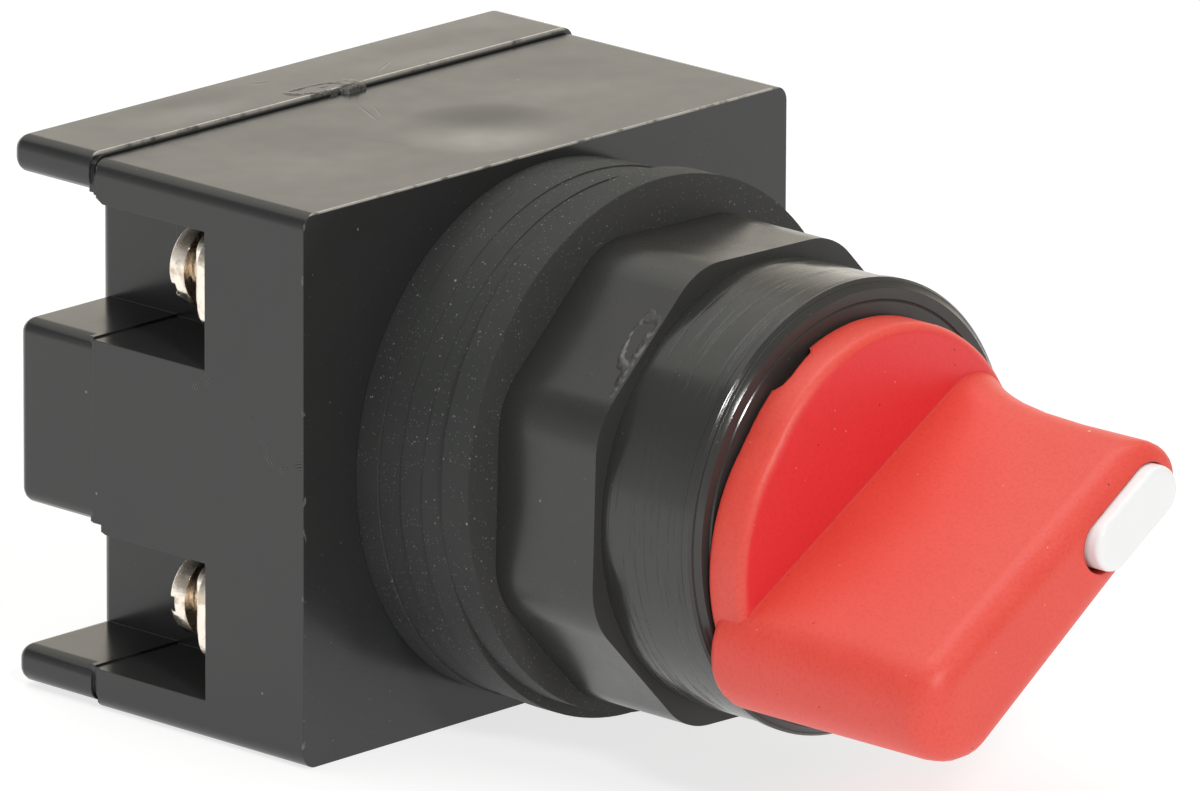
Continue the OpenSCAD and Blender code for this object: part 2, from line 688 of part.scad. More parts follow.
// The shaft with its cam disc: hollow, keyed at the front, grooved for the seal
module shaft_cam() {
    color(ivory) difference() {
        union() {
            translate([0, 0, track_low_z + cam_t / 3]) cylinder(h = cam_t * 2 / 3, d = cam_d);
            translate([0, 0, track_low_z - 0.4]) cylinder(h = cam_t, r = shaft_d / 2 + 1.4);
            cam_track();
            translate([0, 0, track_low_z]) cylinder(h = shoulder_z - track_low_z, d = shaft_d);
            translate([0, 0, shoulder_z - 1]) linear_extrude(stub_l + 1) rotate(knob_angle)
                stub_outline(0);
        }
        // Seal groove
        translate([0, 0, seal_z - seal_cord_d / 2 - 0.1])
            ring(shaft_d + 2, 2 * seal_groove_r, 0, seal_cord_d + 0.2);
        // Hole for the knob screw and its head
        translate([0, 0, cavity_z]) cylinder(h = stub_end_z + eps - cavity_z,
            d = knob_screw_d + 2 * screw_gap);
        translate([0, 0, cavity_z]) cylinder(h = knob_screw_seat - cavity_z,
            d = knob_screw_head_d + 0.6);
        // Detent notches for the end and middle positions
        for (k = [0:2]) rotate([0, 0, -k * throw_angle / 2])
            translate([cam_d / 2 + ball_d / 2 - notch_depth, 0, cavity_z])
                cylinder(h = pocket_z - cavity_z, d = ball_d);
    }
}

// The rubber seal in the shaft's groove
module shaft_seal() {
    color(rubber) translate([0, 0, seal_z])
        rotate_extrude() translate([seal_groove_r + seal_cord_d / 2, 0]) circle(seal_cord_d / 2 - 0.01, $fn = 24);
}

module thrust_washer() {
    color(brass) ring(thrust_d, shaft_d + 0.6, pocket_z - thrust_gap - thrust_t, thrust_t);
}

// The guide plate that closes the cam pocket and steers the plungers
module guide_plate() {
    color(amber) translate([0, 0, guide_z]) difference() {
        linear_extrude(guide_t) square([2 * (cavity_x - guide_gap), 2 * (cavity_y - guide_gap)], center = true);
        for (y = [-1, 1]) translate([0, y * plunger_z, -eps])
            cylinder(h = guide_t + 2 * eps, r = plunger_d / 2 + plunger_gap);
        translate([0, 0, -eps]) cylinder(h = guide_t + 2 * eps, d = knob_screw_head_d + 0.6);
    }
}

detent_gap = 0.08;
detent_x = cam_d / 2 + 0.1 + ball_d / 2;
detent_z = track_low_z + cam_t / 2;
detent_end_x = body_w / 2 - 2.6;
detent_wire = 0.5;

// A coil spring: a round wire swept along a helix that closes up at both ends
module coil(r, wire, length, turns, around) {
    sides = 6;
    steps = turns * around;
    flat = 0.75 * around;
    function rise(k) =
        let (u = max(0, min(1, (k - flat) / (steps - 2 * flat))))
        wire / 2 + wire * 0.55 * min(k, flat) / flat
        + (length - wire - 1.1 * wire) * u + wire * 0.55 * max(0, k - (steps - flat)) / flat;
    points = [for (k = [0:steps])
        let (a = 360 * k / around, h = rise(k))
        each [for (j = [0:sides - 1])
            let (b = 360 * j / sides, q = r + wire / 2 * cos(b))
            [q * cos(a), q * sin(a), h + wire / 2 * sin(b)]]];
    body = [for (k = [0:steps - 1], j = [0:sides - 1])
        let (i = (j + 1) % sides, p = sides * k, n = sides * (k + 1))
        each [[p + j, p + i, n + i], [p + j, n + i, n + j]]];
    first = [[for (j = [0:sides - 1]) sides - 1 - j]];
    last = [[for (j = [0:sides - 1]) sides * steps + j]];
    polyhedron(points, concat(body, first, last));
}

module detent_ball() {
    color(steel) translate([detent_x, 0, detent_z]) sphere(d = ball_d);
}

module detent_spring() {
    start = detent_x + ball_d / 2 - 0.35;
    color(steel) translate([start, 0, detent_z]) rotate([0, 90, 0])
        coil(ball_d / 2 - detent_wire / 2 - 0.25, detent_wire, detent_end_x - start - 0.02, 4, 12);
}

// Both contact sets are drawn closed and then moved back by their travel in this position
upper_travel = lift;
lower_travel = 0;

// A plunger: a round pin with a domed tip on the cam track
module plunger(level, travel) {
    tip_z = track_low_z - tip_gap;
    r = plunger_d / 2;
    color(amber) translate([0, level * plunger_z, -travel]) {
        translate([0, 0, bridge_front_z]) cylinder(h = tip_z - r - bridge_front_z, r = r);
        translate([0, 0, tip_z - r]) intersection() {
            sphere(r);
            translate([0, 0, -0.01]) cylinder(h = 2 * r, r = r);
        }
        // The spigot that centres the bridge and its spring
        translate([0, 0, bridge_front_z - bridge_t - 1.2]) cylinder(h = bridge_t + 1.3, d = 2.6);
    }
}

// A contact bridge: a flat bar with round ends, pierced for the plunger's spigot
module bridge(level, travel) {
    r = bridge_w / 2;
    color(brass) translate([0, level * plunger_z, bridge_front_z - bridge_t - travel])
        linear_extrude(bridge_t) difference() {
            union() {
                square([2 * (bridge_half - r), bridge_w], center = true);
                for (x = [-1, 1]) translate([x * (bridge_half - r), 0]) circle(r);
            }
            circle(d = 2.6 + 2 * strip_gap);
        }
}

// The two silver buttons of a bridge
module moving_contacts(level, travel) {
    color(silver) for (x = [-1, 1])
        translate([x * button_x, level * plunger_z, bridge_front_z - travel])
            cylinder(h = button_h, d = button_d);
}

module contact_spring(level, travel) {
    top = bridge_front_z - bridge_t - travel;
    color(steel) translate([0, level * plunger_z, spring_seat_z])
        coil(spring_d / 2, spring_wire, top - spring_seat_z, spring_turns, 14);
}

// A terminal: a plate in the recess and a strip through the wall to the fixed contact
module terminal(side, level) {
    strip_end = button_x - button_d / 2 - 0.6;
    color(nickel) at_terminal(side, level) difference() {
        translate([0, 0, strip_back_z]) linear_extrude(terminal_t) {
            translate([screw_x, recess_z + level * terminal_rise])
                rounded_rect(terminal_w, terminal_w, terminal_r);
            translate([strip_end, recess_z - strip_w / 2])
                square([screw_x - 1 - strip_end, strip_w]);
        }
        translate([screw_x, recess_z + level * screw_rise, strip_back_z - eps])
            cylinder(h = terminal_t + 2 * eps, d = screw_d + 2 * screw_gap);
    }
}

module fixed_contacts() {
    color(silver) each_terminal()
        translate([button_x, plunger_z, button_face_z]) cylinder(h = button_h, d = button_d);
}

// A square clamp washer lying on the terminal plate
module clamp(side, level) {
    color(nickel) at_terminal(side, level)
        translate([screw_x, recess_z + level * screw_rise, strip_back_z - clamp_t])
            linear_extrude(clamp_t) difference() {
            rounded_rect(clamp_w, clamp_w, clamp_r);
            circle(d = screw_d + 2 * screw_gap);
        }
}

screw_under_z = strip_back_z - clamp_t - screw_out;
screw_tip_z = screw_under_z + screw_l;

// A terminal screw with a slotted pan head; each one stopped with its slot at its own angle
module terminal_screw(side, level) {
    r = screw_head_d / 2;
    dome = 0.4 * screw_head_h;
    slot_turn = side < 0 ? (level > 0 ? 28 : 4) : (level > 0 ? -15 : 62);
    color(nickel) at_terminal(side, level)
        translate([screw_x, recess_z + level * screw_rise, 0]) difference() {
        union() {
            translate([0, 0, screw_under_z - screw_head_h])
                rotate_extrude() polygon([[0, 0], [0.4 * r, 0.1 * dome], [0.68 * r, 0.33 * dome],
                    [0.88 * r, 0.62 * dome], [0.97 * r, 0.82 * dome], [r, dome],
                    [r, screw_head_h], [0, screw_head_h]]);
            translate([0, 0, screw_under_z - 0.2])
                cylinder(h = screw_tip_z - screw_under_z + 0.2, d = screw_d);
        }
        rotate([0, 0, side * level * slot_turn])
            translate([-5, -0.6, screw_under_z - screw_head_h - eps]) cube([10, 1.2, dome + 0.35 + eps]);
    }
}

module cover_screw(side) {
    seat = back_z + cover_head_sink + cover_head_h;
    color(steel) translate([side * cover_screw_x, 0, 0]) difference() {
        union() {
            translate([0, 0, seat - cover_head_h]) cylinder(h = cover_head_h, d = cover_head_d);
            translate([0, 0, seat - 0.1]) cylinder(h = cover_screw_l + 0.1, d = cover_screw_d);
        }
        translate([-5, -0.4, seat - cover_head_h - eps]) cube([10, 0.8, 1 + eps]);
    }
}

// Turns the front view into the part's frame: the knob faces -Y, +Z is up
module place() {
    rotate([90, 0, 0]) children();
}

place() front_housing();
place() rear_cover();
place() panel_gasket(0);  // panel_gasket_1
place() panel_gasket(1);  // panel_gasket_2
place() panel_gasket(2);  // panel_gasket_3
place() panel_gasket(3);  // panel_gasket_4
place() panel_gasket(4);  // panel_gasket_5
place() clamping_nut();
place() knob();
place() pointer_insert();
place() knob_screw();
place() shaft_cam();
place() shaft_seal();
place() thrust_washer();
place() guide_plate();
place() detent_ball();
place() detent_spring();
place() plunger(1, upper_travel);  // plunger_upper
place() plunger(-1, lower_travel);  // plunger_lower
place() bridge(1, upper_travel);  // bridge_upper
place() bridge(-1, lower_travel);  // bridge_lower
place() moving_contacts(1, upper_travel);  // moving_contacts_upper
place() moving_contacts(-1, lower_travel);  // moving_contacts_lower
place() contact_spring(1, upper_travel);  // contact_spring_upper
place() contact_spring(-1, lower_travel);  // contact_spring_lower
place() terminal(-1, 1);  // terminal_upper_left
place() terminal(1, 1);  // terminal_upper_right
place() terminal(-1, -1);  // terminal_lower_left
place() terminal(1, -1);  // terminal_lower_right
place() fixed_contacts();
place() clamp(-1, 1);  // clamp_upper_left
place() clamp(1, 1);  // clamp_upper_right
place() clamp(-1, -1);  // clamp_lower_left
place() clamp(1, -1);  // clamp_lower_right
place() terminal_screw(-1, 1);  // terminal_screw_upper_left
place() terminal_screw(1, 1);  // terminal_screw_upper_right
place() terminal_screw(-1, -1);  // terminal_screw_lower_left
place() terminal_screw(1, -1);  // terminal_screw_lower_right
place() cover_screw(-1);  // cover_screw_left
place() cover_screw(1);  // cover_screw_right
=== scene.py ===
# %% [markdown]
# # Dressing a panel selector switch
# The switch comes from its construction model as fixed solids, in metres. This notebook gives
# each of them the surface that the real piece has, adds the small rough things that a mould and
# a workshop leave behind, and sets up a plain studio. Solids are never moved: new pieces are
# placed on the boxes and surfaces of the solids that carry them. The origin lies on the knob's
# axis, -Y points to the user, +X to the user's right and +Z up. Sizes are written in
# millimetres, and MM turns them into metres.

# %% Load the fixed model
import json
import math

import bpy
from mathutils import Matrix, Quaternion, Vector, noise
from mathutils.bvhtree import BVHTree


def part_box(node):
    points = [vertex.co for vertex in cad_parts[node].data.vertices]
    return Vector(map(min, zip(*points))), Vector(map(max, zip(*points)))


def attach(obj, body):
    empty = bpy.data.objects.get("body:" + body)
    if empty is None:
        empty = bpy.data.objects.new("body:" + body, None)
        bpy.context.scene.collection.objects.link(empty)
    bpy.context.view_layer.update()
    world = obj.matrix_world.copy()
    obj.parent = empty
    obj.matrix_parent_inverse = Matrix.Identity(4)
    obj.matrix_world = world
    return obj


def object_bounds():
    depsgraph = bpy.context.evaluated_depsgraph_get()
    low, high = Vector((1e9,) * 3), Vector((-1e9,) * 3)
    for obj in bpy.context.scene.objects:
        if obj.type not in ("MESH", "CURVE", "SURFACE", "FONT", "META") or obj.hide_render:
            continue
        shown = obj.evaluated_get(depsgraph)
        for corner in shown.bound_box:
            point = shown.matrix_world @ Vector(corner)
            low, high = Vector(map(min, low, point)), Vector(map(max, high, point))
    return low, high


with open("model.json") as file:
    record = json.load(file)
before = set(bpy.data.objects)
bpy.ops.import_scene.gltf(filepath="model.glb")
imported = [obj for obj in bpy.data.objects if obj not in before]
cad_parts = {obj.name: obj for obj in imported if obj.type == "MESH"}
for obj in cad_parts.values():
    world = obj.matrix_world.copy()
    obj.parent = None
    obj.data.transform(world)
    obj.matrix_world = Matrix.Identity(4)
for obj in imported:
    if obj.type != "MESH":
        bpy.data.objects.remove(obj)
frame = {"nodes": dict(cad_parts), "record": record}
nodes = frame["nodes"]
cad_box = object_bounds()
MM = 0.001
print("solids:", len(nodes))

# %% [markdown]
# ## Two helpers for every material
# Colours are chosen as sRGB hex values, as a paint shop would name them, and the renderer works
# in linear light, so one function converts them. The other helper adds a shader node, sets its
# properties and feeds its inputs. With it each material reads as a list of what it is made of.
# Some inputs go by number. In a Map Range node, 1 and 2 are the range that it reads, and 3 and 4
# are the range that it gives. In a Mix node for colours, 0 is the share and 6 and 7 are the
# colours.

# %% Colour and node helpers
NOISE, CELLS, RANGE = "ShaderNodeTexNoise", "ShaderNodeTexVoronoi", "ShaderNodeMapRange"
MATH, VECTOR, MIX = "ShaderNodeMath", "ShaderNodeVectorMath", "ShaderNodeMix"
SPLIT, COMBINE = "ShaderNodeSeparateXYZ", "ShaderNodeCombineXYZ"
BUMP, BEVEL = "ShaderNodeBump", "ShaderNodeBevel"
SMOOTH = {"interpolation_type": "SMOOTHSTEP"}
COLOUR = {"data_type": "RGBA"}


def srgb(code):
    """A hex colour such as '#aabbcc' as linear red, green, blue and alpha."""
    parts = [int(code[i:i + 2], 16) / 255 for i in (1, 3, 5)]
    linear = [p / 12.92 if p <= 0.04045 else ((p + 0.055) / 1.055) ** 2.4 for p in parts]
    return (*linear, 1.0)


def add(tree, kind, feeds, out=0, **settings):
    """Adds a node, sets its properties, feeds its inputs and gives one of its outputs."""
    node = tree.nodes.new(kind)
    for name, value in settings.items():
        setattr(node, name, value)
    for socket, value in feeds.items():
        if isinstance(value, bpy.types.NodeSocket):
            tree.links.new(value, node.inputs[socket])
        else:
            node.inputs[socket].default_value = value
    return node.outputs[out] if node.outputs else node


# %% [markdown]
# ## A material's start and end
# Every material here is one Principled shader. What is the same all over the surface, such as
# the index of refraction, is set on the shader itself, and what varies is fed in at the end.
# Patterns are drawn in millimetres, so they keep their scale on every piece: the object
# coordinates of these solids are metres in the shared frame, and are multiplied by 1000 once.

# %% Start and finish a material
finishes = {}


def start_material(name, **surface):
    """A material with a Principled shader, its constants set on the shader's own sockets."""
    material = bpy.data.materials.new(name)
    material.use_nodes = True
    tree = material.node_tree
    shader = tree.nodes["Principled BSDF"]
    for socket, value in surface.items():
        shader.inputs[socket.replace("_", " ")].default_value = value
    place = add(tree, "ShaderNodeTexCoord", {}, out="Object")
    return material, tree, shader, add(tree, VECTOR, {0: place, "Scale": 1 / MM}, operation="SCALE")


def finish_material(material, shader, colour, normal, roughness=None):
    """Feeds the shader its colour, its normal and, where it varies, its roughness."""
    links = material.node_tree.links
    links.new(colour, shader.inputs["Base Color"])
    links.new(normal, shader.inputs["Normal"])
    if roughness is not None:
        links.new(roughness, shader.inputs["Roughness"])
    print(material.name, "nodes:", len(material.node_tree.nodes))
    return material


# %% [markdown]
# ## Patterns with a real size
# A noise whose scale is 1 / size has features about that many millimetres across. Dust is a
# pattern of its own: one round dot to a cell, kept in only some of the cells. Real dust is
# mostly finer than a pixel of the render, so it is drawn as coarse as it needs to show. A hollow
# and a line fade out at their borders, and a last pattern picks the faces that look at the user.

# %% Patterns
# The share of a dot and of a line that has the full strength
dot_core, line_core = 0.3, 0.4


def dust(tree, where, spacing, size, share):
    """Rare round dots, one to a cell of spacing millimetres, kept in a share of the cells."""
    cells = tree.nodes.new(CELLS)
    cells.inputs["Scale"].default_value = 1 / spacing
    tree.links.new(where, cells.inputs["Vector"])
    chance = add(tree, SPLIT, {0: cells.outputs["Color"]})
    dot = add(tree, RANGE, {0: cells.outputs["Distance"], 1: size / spacing,
                            2: dot_core * size / spacing}, **SMOOTH)
    kept = add(tree, MATH, {0: chance, 1: share}, operation="LESS_THAN")
    return add(tree, MATH, {0: dot, 1: kept}, operation="MULTIPLY")


def dusted(tree, where, colour, specks):
    """The colour under specks, each kind of them a spacing, a size, a share and a tint."""
    for spacing, size, share, tint in specks:
        dots = dust(tree, where, spacing, size, share)
        colour = add(tree, MIX, {0: dots, 6: colour, 7: srgb(tint)}, out=2, **COLOUR)
    return colour


def hollow(tree, where, centre, spread):
    """A round hollow that fades out: 1 at its centre, 0 past its spread, in millimetres."""
    offset = add(tree, VECTOR, {0: where, 1: centre}, operation="SUBTRACT")
    scaled = add(tree, VECTOR, {0: offset, 1: tuple(1 / s for s in spread)}, operation="MULTIPLY")
    length = add(tree, VECTOR, {0: scaled}, out="Value", operation="LENGTH")
    return add(tree, RANGE, {0: length, 1: 1.0, 2: 0.0}, **SMOOTH)


def line_along_x(tree, where, y, z, width):
    """A line along X through a point of the YZ plane: 1 on it, 0 past its width."""
    flat = add(tree, VECTOR, {0: where, 1: (0.0, 1.0, 1.0)}, operation="MULTIPLY")
    away = add(tree, VECTOR, {0: flat, 1: (0.0, y, z)}, out="Value", operation="DISTANCE")
    return add(tree, RANGE, {0: away, 1: width, 2: line_core * width}, **SMOOTH)


def faces_user(tree, begin=0.8, full=0.95, most=1.0, **settings):
    """How much a face looks at the user, along -Y: 0 up to begin and most from full on."""
    normal = add(tree, "ShaderNodeNewGeometry", {}, out="Normal")
    along_y = add(tree, SPLIT, {0: normal}, out="Y")
    return add(tree, RANGE, {0: along_y, 1: -begin, 2: -full, 4: most}, **settings)


# %% [markdown]
# ## Black nylon, injection moulded
# The housing, the rear cover and the nut are black nylon from a polished mould. Little of what
# the eye sees is the nylon's own colour: it is the room in a half-gloss skin, bright at a
# grazing look along the top and dark along the rounded edges. The skin is never quite flat,
# so its reflections come in soft patches, and dust and faint scuffs show as paler marks.
# A bevel in the shader rounds the sharp edges by about a tenth of a millimetre.

# %% Black nylon
nylon_specks = ((0.5, 0.07, 0.4, "#474746"), (1.1, 0.09, 0.3, "#62615d"), (3.1, 0.15, 0.25, "#85827b"))


def black_nylon(name, base="#292a2b", cloud="#30302f", roughness=0.2, wave_height=0.036, edge_radius=0.1):
    """The plain moulded skin, as a material that is still open for more marks."""
    cloud_size, smear_size, grain_size, wave_size = 9.0, 2.5, 0.2, 7.0
    grain_height = 0.0025
    wiped, smeared = roughness - 0.05, roughness + 0.08
    material, tree, shader, where = start_material(name, IOR=1.53)
    clouds = add(tree, NOISE, {"Vector": where, "Scale": 1 / cloud_size})
    colour = add(tree, MIX, {0: clouds, 6: srgb(base), 7: srgb(cloud)}, out=2, **COLOUR)
    colour = dusted(tree, where, colour, nylon_specks)
    smears = add(tree, NOISE, {"Vector": where, "Scale": 1 / smear_size, "Detail": 3.0})
    rough = add(tree, RANGE, {0: smears, 3: wiped, 4: smeared})
    edge = add(tree, BEVEL, {"Radius": edge_radius * MM}, samples=6)
    grain = add(tree, NOISE, {"Vector": where, "Scale": 1 / grain_size})
    grained = add(tree, BUMP, {"Height": grain, "Distance": grain_height * MM, "Normal": edge})
    wave = add(tree, NOISE, {"Vector": where, "Scale": 1 / wave_size, "Detail": 1.0})
    normal = add(tree, BUMP, {"Height": wave, "Distance": wave_height * MM, "Normal": grained})
    return material, tree, shader, where, colour, normal, rough


# %% [markdown]
# ## Marks on the block
# A thick wall shrinks as it cools and leaves a sink mark, here on top over the threaded
# bushing, with shallower ones beside it. On the left-hand wall the cutter that trimmed the
# mould has left rows of tiny arcs. A few long scratches cross the top. Each of these is a
# height in a named place, so they are measured from the block's own box.

# %% Where the block's marks are
housing_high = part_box("front_housing")[1]
cover_low, cover_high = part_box("rear_cover")
# The gaskets lie on the block's front face, and the cover begins at the seam
face_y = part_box("panel_gasket_1")[1].y / MM
seam_y = cover_low.y / MM
half_w, half_h = housing_high.x / MM, housing_high.z / MM
cover_half_h = cover_high.z / MM
# Each sink mark's centre, spread and depth
sinks = [((0.9, 20.4, half_h), (8.0, 7.0, 4.0), 0.26), ((-14.0, 25.0, half_h), (9.0, 8.0, 4.0), 0.07),
         ((15.0, 27.0, half_h), (8.0, 7.0, 4.0), 0.05), ((-12.0, 40.0, half_h), (9.0, 4.0, 4.0), 0.07),
         ((14.0, 39.0, half_h), (9.0, 4.0, 4.0), 0.06)]
# Each scratch's two ends and width
scratches = [((-0.8, 32.6, half_h), (-3.7, 27.0, half_h), 0.14),
             ((-0.1, 31.4, half_h), (-2.6, 27.9, half_h), 0.1),
             ((-8.4, 26.2, half_h), (-6.4, 20.2, half_h), 0.08),
             ((-4.2, 41.6, cover_half_h), (-1.2, 40.4, cover_half_h), 0.14),
             ((5.4, 36.6, cover_half_h), (10.2, 39.0, cover_half_h), 0.1)]
# The arcs run round one centre and show in spots, each given by its y, z and spread
arc_centre = (-half_w, 12.2, -0.6)
arc_spacing = 0.24
arc_spots = [(18.0, 4.9, 0.7), (16.9, 3.5, 0.84), (15.9, 2.3, 1.19), (14.6, 1.7, 1.12),
             (13.0, 2.0, 0.84), (19.0, 6.2, 0.56), (23.0, 7.1, 0.84), (24.2, 6.3, 0.56)]
print("block half width and height in mm:", round(half_w, 2), round(half_h, 2))


# %% Heights on the block
def sink_marks(tree, where, normal):
    """Shallow hollows over the thick places of the wall."""
    for centre, spread, depth in sinks:
        normal = add(tree, BUMP, {"Height": hollow(tree, where, centre, spread), "Distance": depth * MM,
                                  "Normal": normal}, invert=True)
    return normal


def cutter_arcs(tree, where, normal):
    """Fine ripples round one centre, in broken spots."""
    arc_height, gap_size = 0.03, 0.7
    radius = add(tree, VECTOR, {0: where, 1: arc_centre}, out="Value", operation="DISTANCE")
    phase = add(tree, MATH, {0: radius, 1: 2 * math.pi / arc_spacing}, operation="MULTIPLY")
    ripple = add(tree, MATH, {0: phase}, operation="SINE")
    inside = 0.0
    for y, z, spread in arc_spots:
        spot = hollow(tree, where, (-half_w, y, z), (spread,) * 3)
        inside = add(tree, MATH, {0: inside, 1: spot}, operation="MAXIMUM")
    gaps = add(tree, NOISE, {"Vector": where, "Scale": 1 / gap_size})
    broken = add(tree, RANGE, {0: gaps, 1: 0.42, 2: 0.55}, **SMOOTH)
    inside = add(tree, MATH, {0: inside, 1: broken}, operation="MULTIPLY")
    arcs = add(tree, MATH, {0: ripple, 1: inside}, operation="MULTIPLY")
    return add(tree, BUMP, {"Height": arcs, "Distance": arc_height * MM, "Normal": normal})


def top_scratches(tree, where, normal):
    """Grooves between two ends, drawn as hollows that are long one way and narrow the other."""
    groove_depth = 0.022
    for start, end, width in scratches:
        run = Vector(end) - Vector(start)
        moved = add(tree, VECTOR, {0: where, 1: (Vector(start) + Vector(end)) / 2}, operation="SUBTRACT")
        turned = add(tree, "ShaderNodeVectorRotate", {"Vector": moved, "Angle": -math.atan2(run.y, run.x)},
                     rotation_type="Z_AXIS")
        scaled = add(tree, VECTOR, {0: turned, 1: (2 / run.length, 1 / width, 1.0)}, operation="MULTIPLY")
        length = add(tree, VECTOR, {0: scaled}, out="Value", operation="LENGTH")
        groove = add(tree, RANGE, {0: length, 1: 1.0, 2: 0.0}, **SMOOTH)
        normal = add(tree, BUMP, {"Height": groove, "Distance": groove_depth * MM, "Normal": normal},
                     invert=True)
    return normal


# %% [markdown]
# ## Pale edge lines and nicks of the block
# A pale rough line is painted along the front top edge and beside the cover's seam: a painted
# highlight, where these edges catch the light. The front left edge has small nicks. Both are
# narrow bands along an edge, broken up by a noise. With them the block's nylon is complete.

# %% Painted edge highlights and nicks
def painted_edge_highlights(tree, where, colour):
    """Pale ragged lines painted along two edges of the top: painted highlights where these edges catch the
    light.
    """
    breakup_size, front_width, seam_width, seam_gap = 1.3, 0.2, 0.3, 0.25
    line_breakup = add(tree, NOISE, {"Vector": where, "Scale": 1 / breakup_size, "Detail": 5.0})
    ragged = add(tree, RANGE, {0: line_breakup, 1: 0.3, 2: 0.5, 3: 0.25}, **SMOOTH)
    # Each pale line is a painted highlight along an edge that catches the light
    for y, z, width in ((face_y, half_h, front_width), (seam_y + seam_gap, cover_half_h, seam_width)):
        line = add(tree, MATH, {0: line_along_x(tree, where, y, z, width), 1: ragged},
                   operation="MULTIPLY")
        colour = add(tree, MIX, {0: line, 6: colour, 7: srgb("#b9b5ae")}, out=2, **COLOUR)
    return colour


def edge_nicks(tree, where):
    """Nicks down the front left edge, a little taller than wide."""
    nick_size, nick_reach, nick_core, squeeze = 0.6, 0.35, 0.1, 0.4
    upright = add(tree, VECTOR, {0: where, 1: (1.0, 1.0, 0.0)}, operation="MULTIPLY")
    away = add(tree, VECTOR, {0: upright, 1: (-half_w, face_y, 0.0)}, out="Value", operation="DISTANCE")
    near = add(tree, RANGE, {0: away, 1: nick_reach, 2: nick_core}, **SMOOTH)
    tall = add(tree, VECTOR, {0: where, 1: (1.0, 1.0, squeeze)}, operation="MULTIPLY")
    chips = add(tree, NOISE, {"Vector": tall, "Scale": 1 / nick_size, "Detail": 5.0})
    patchy = add(tree, RANGE, {0: chips, 1: 0.6, 2: 0.7}, **SMOOTH)
    return add(tree, MATH, {0: near, 1: patchy}, operation="MULTIPLY")


def block_nylon(name):
    nick_depth = 0.05
    material, tree, shader, where, colour, normal, rough = black_nylon(name)
    normal = sink_marks(tree, where, normal)
    normal = cutter_arcs(tree, where, normal)
    normal = top_scratches(tree, where, normal)
    # Pale painted highlights along the front top edge and beside the seam
    colour = painted_edge_highlights(tree, where, colour)
    nicks = edge_nicks(tree, where)
    colour = add(tree, MIX, {0: nicks, 6: colour, 7: srgb("#6d6a65")}, out=2, **COLOUR)
    normal = add(tree, BUMP, {"Height": nicks, "Distance": nick_depth * MM, "Normal": normal}, invert=True)
    return finish_material(material, shader, colour, normal, rough)


finishes["black_moulding"] = block_nylon("black_nylon_block")

# %% [markdown]
# ## The nut's nylon
# The nut comes from a mould whose round cavity was turned. Fine lines run round its collar, some
# all the way and some only for a part: a noise that changes fast along the axis and slowly
# round it. Its flats and its front face are duller.

# %% The nut's nylon
collar_start = -10.6
line_spacing = 0.35
flats_duller, mouth_duller = 0.1, 0.3


def turned_nylon(name):
    collar_blend, line_drift, line_depth = 0.8, 0.06, 0.013
    material, tree, shader, where, colour, normal, rough = black_nylon(
        name, base="#30302f", cloud="#383835", roughness=0.15, wave_height=0.06, edge_radius=0.05)
    y = add(tree, SPLIT, {0: where}, out="Y")
    depth = add(tree, MATH, {0: y, 1: 1 / line_spacing}, operation="MULTIPLY")
    rings = add(tree, COMBINE, {"Y": depth})
    drift = add(tree, VECTOR, {0: where, 1: (line_drift, 0.0, line_drift)}, operation="MULTIPLY")
    track = add(tree, VECTOR, {0: rings, 1: drift}, operation="ADD")
    lines = add(tree, NOISE, {"Vector": track, "Scale": 1.0, "Detail": 4.0, "Roughness": 0.65})
    deep = add(tree, RANGE, {0: lines, 1: 0.53, 2: 0.68}, **SMOOTH)
    collar = add(tree, RANGE, {0: y, 1: collar_start, 2: collar_start - collar_blend}, **SMOOTH)
    turned = add(tree, MATH, {0: deep, 1: collar}, operation="MULTIPLY")
    normal = add(tree, BUMP, {"Height": turned, "Distance": line_depth * MM, "Normal": normal}, invert=True)
    rough = add(tree, MATH, {0: rough, 1: flats_duller}, operation="ADD")
    rough = add(tree, MATH, {0: collar, 1: -flats_duller, 2: rough}, operation="MULTIPLY_ADD")
    rough = add(tree, MATH, {0: rough, 1: faces_user(tree, most=mouth_duller)}, operation="ADD")
    return finish_material(material, shader, colour, normal, rough)


nut_finish = turned_nylon("black_nylon_turned")

# %% [markdown]
# ## Nitrile rubber, cut from moulded sheet
# The gaskets are matt and a little green beside the nylon. Rubber holds dust, so they carry
# more and finer specks than the plastic, and their skin is dull at every angle. The flat faces
# keep the sheet's skin, a shade warmer than the cut rims.

# %% Nitrile rubber
rubber_specks = ((0.3, 0.08, 0.5, "#666863"), (0.6, 0.1, 0.35, "#83857e"), (2.2, 0.15, 0.3, "#94958d"))


def nitrile_rubber(name):
    cloud_size, skin_size, skin_height, edge_radius = 5.0, 0.3, 0.03, 0.18
    material, tree, shader, where = start_material(name, Roughness=0.68, Specular_IOR_Level=0.42)
    clouds = add(tree, NOISE, {"Vector": where, "Scale": 1 / cloud_size})
    colour = add(tree, MIX, {0: clouds, 6: srgb("#2d2f2e"), 7: srgb("#383a38")}, out=2, **COLOUR)
    colour = add(tree, MIX, {0: faces_user(tree), 6: colour, 7: srgb("#3a3a38")}, out=2, **COLOUR)
    colour = dusted(tree, where, colour, rubber_specks)
    edge = add(tree, BEVEL, {"Radius": edge_radius * MM}, samples=4)
    skin = add(tree, NOISE, {"Vector": where, "Scale": 1 / skin_size, "Detail": 4.0})
    normal = add(tree, BUMP, {"Height": skin, "Distance": skin_height * MM, "Normal": edge})
    return finish_material(material, shader, colour, normal)


finishes["rubber"] = nitrile_rubber("nitrile_rubber")

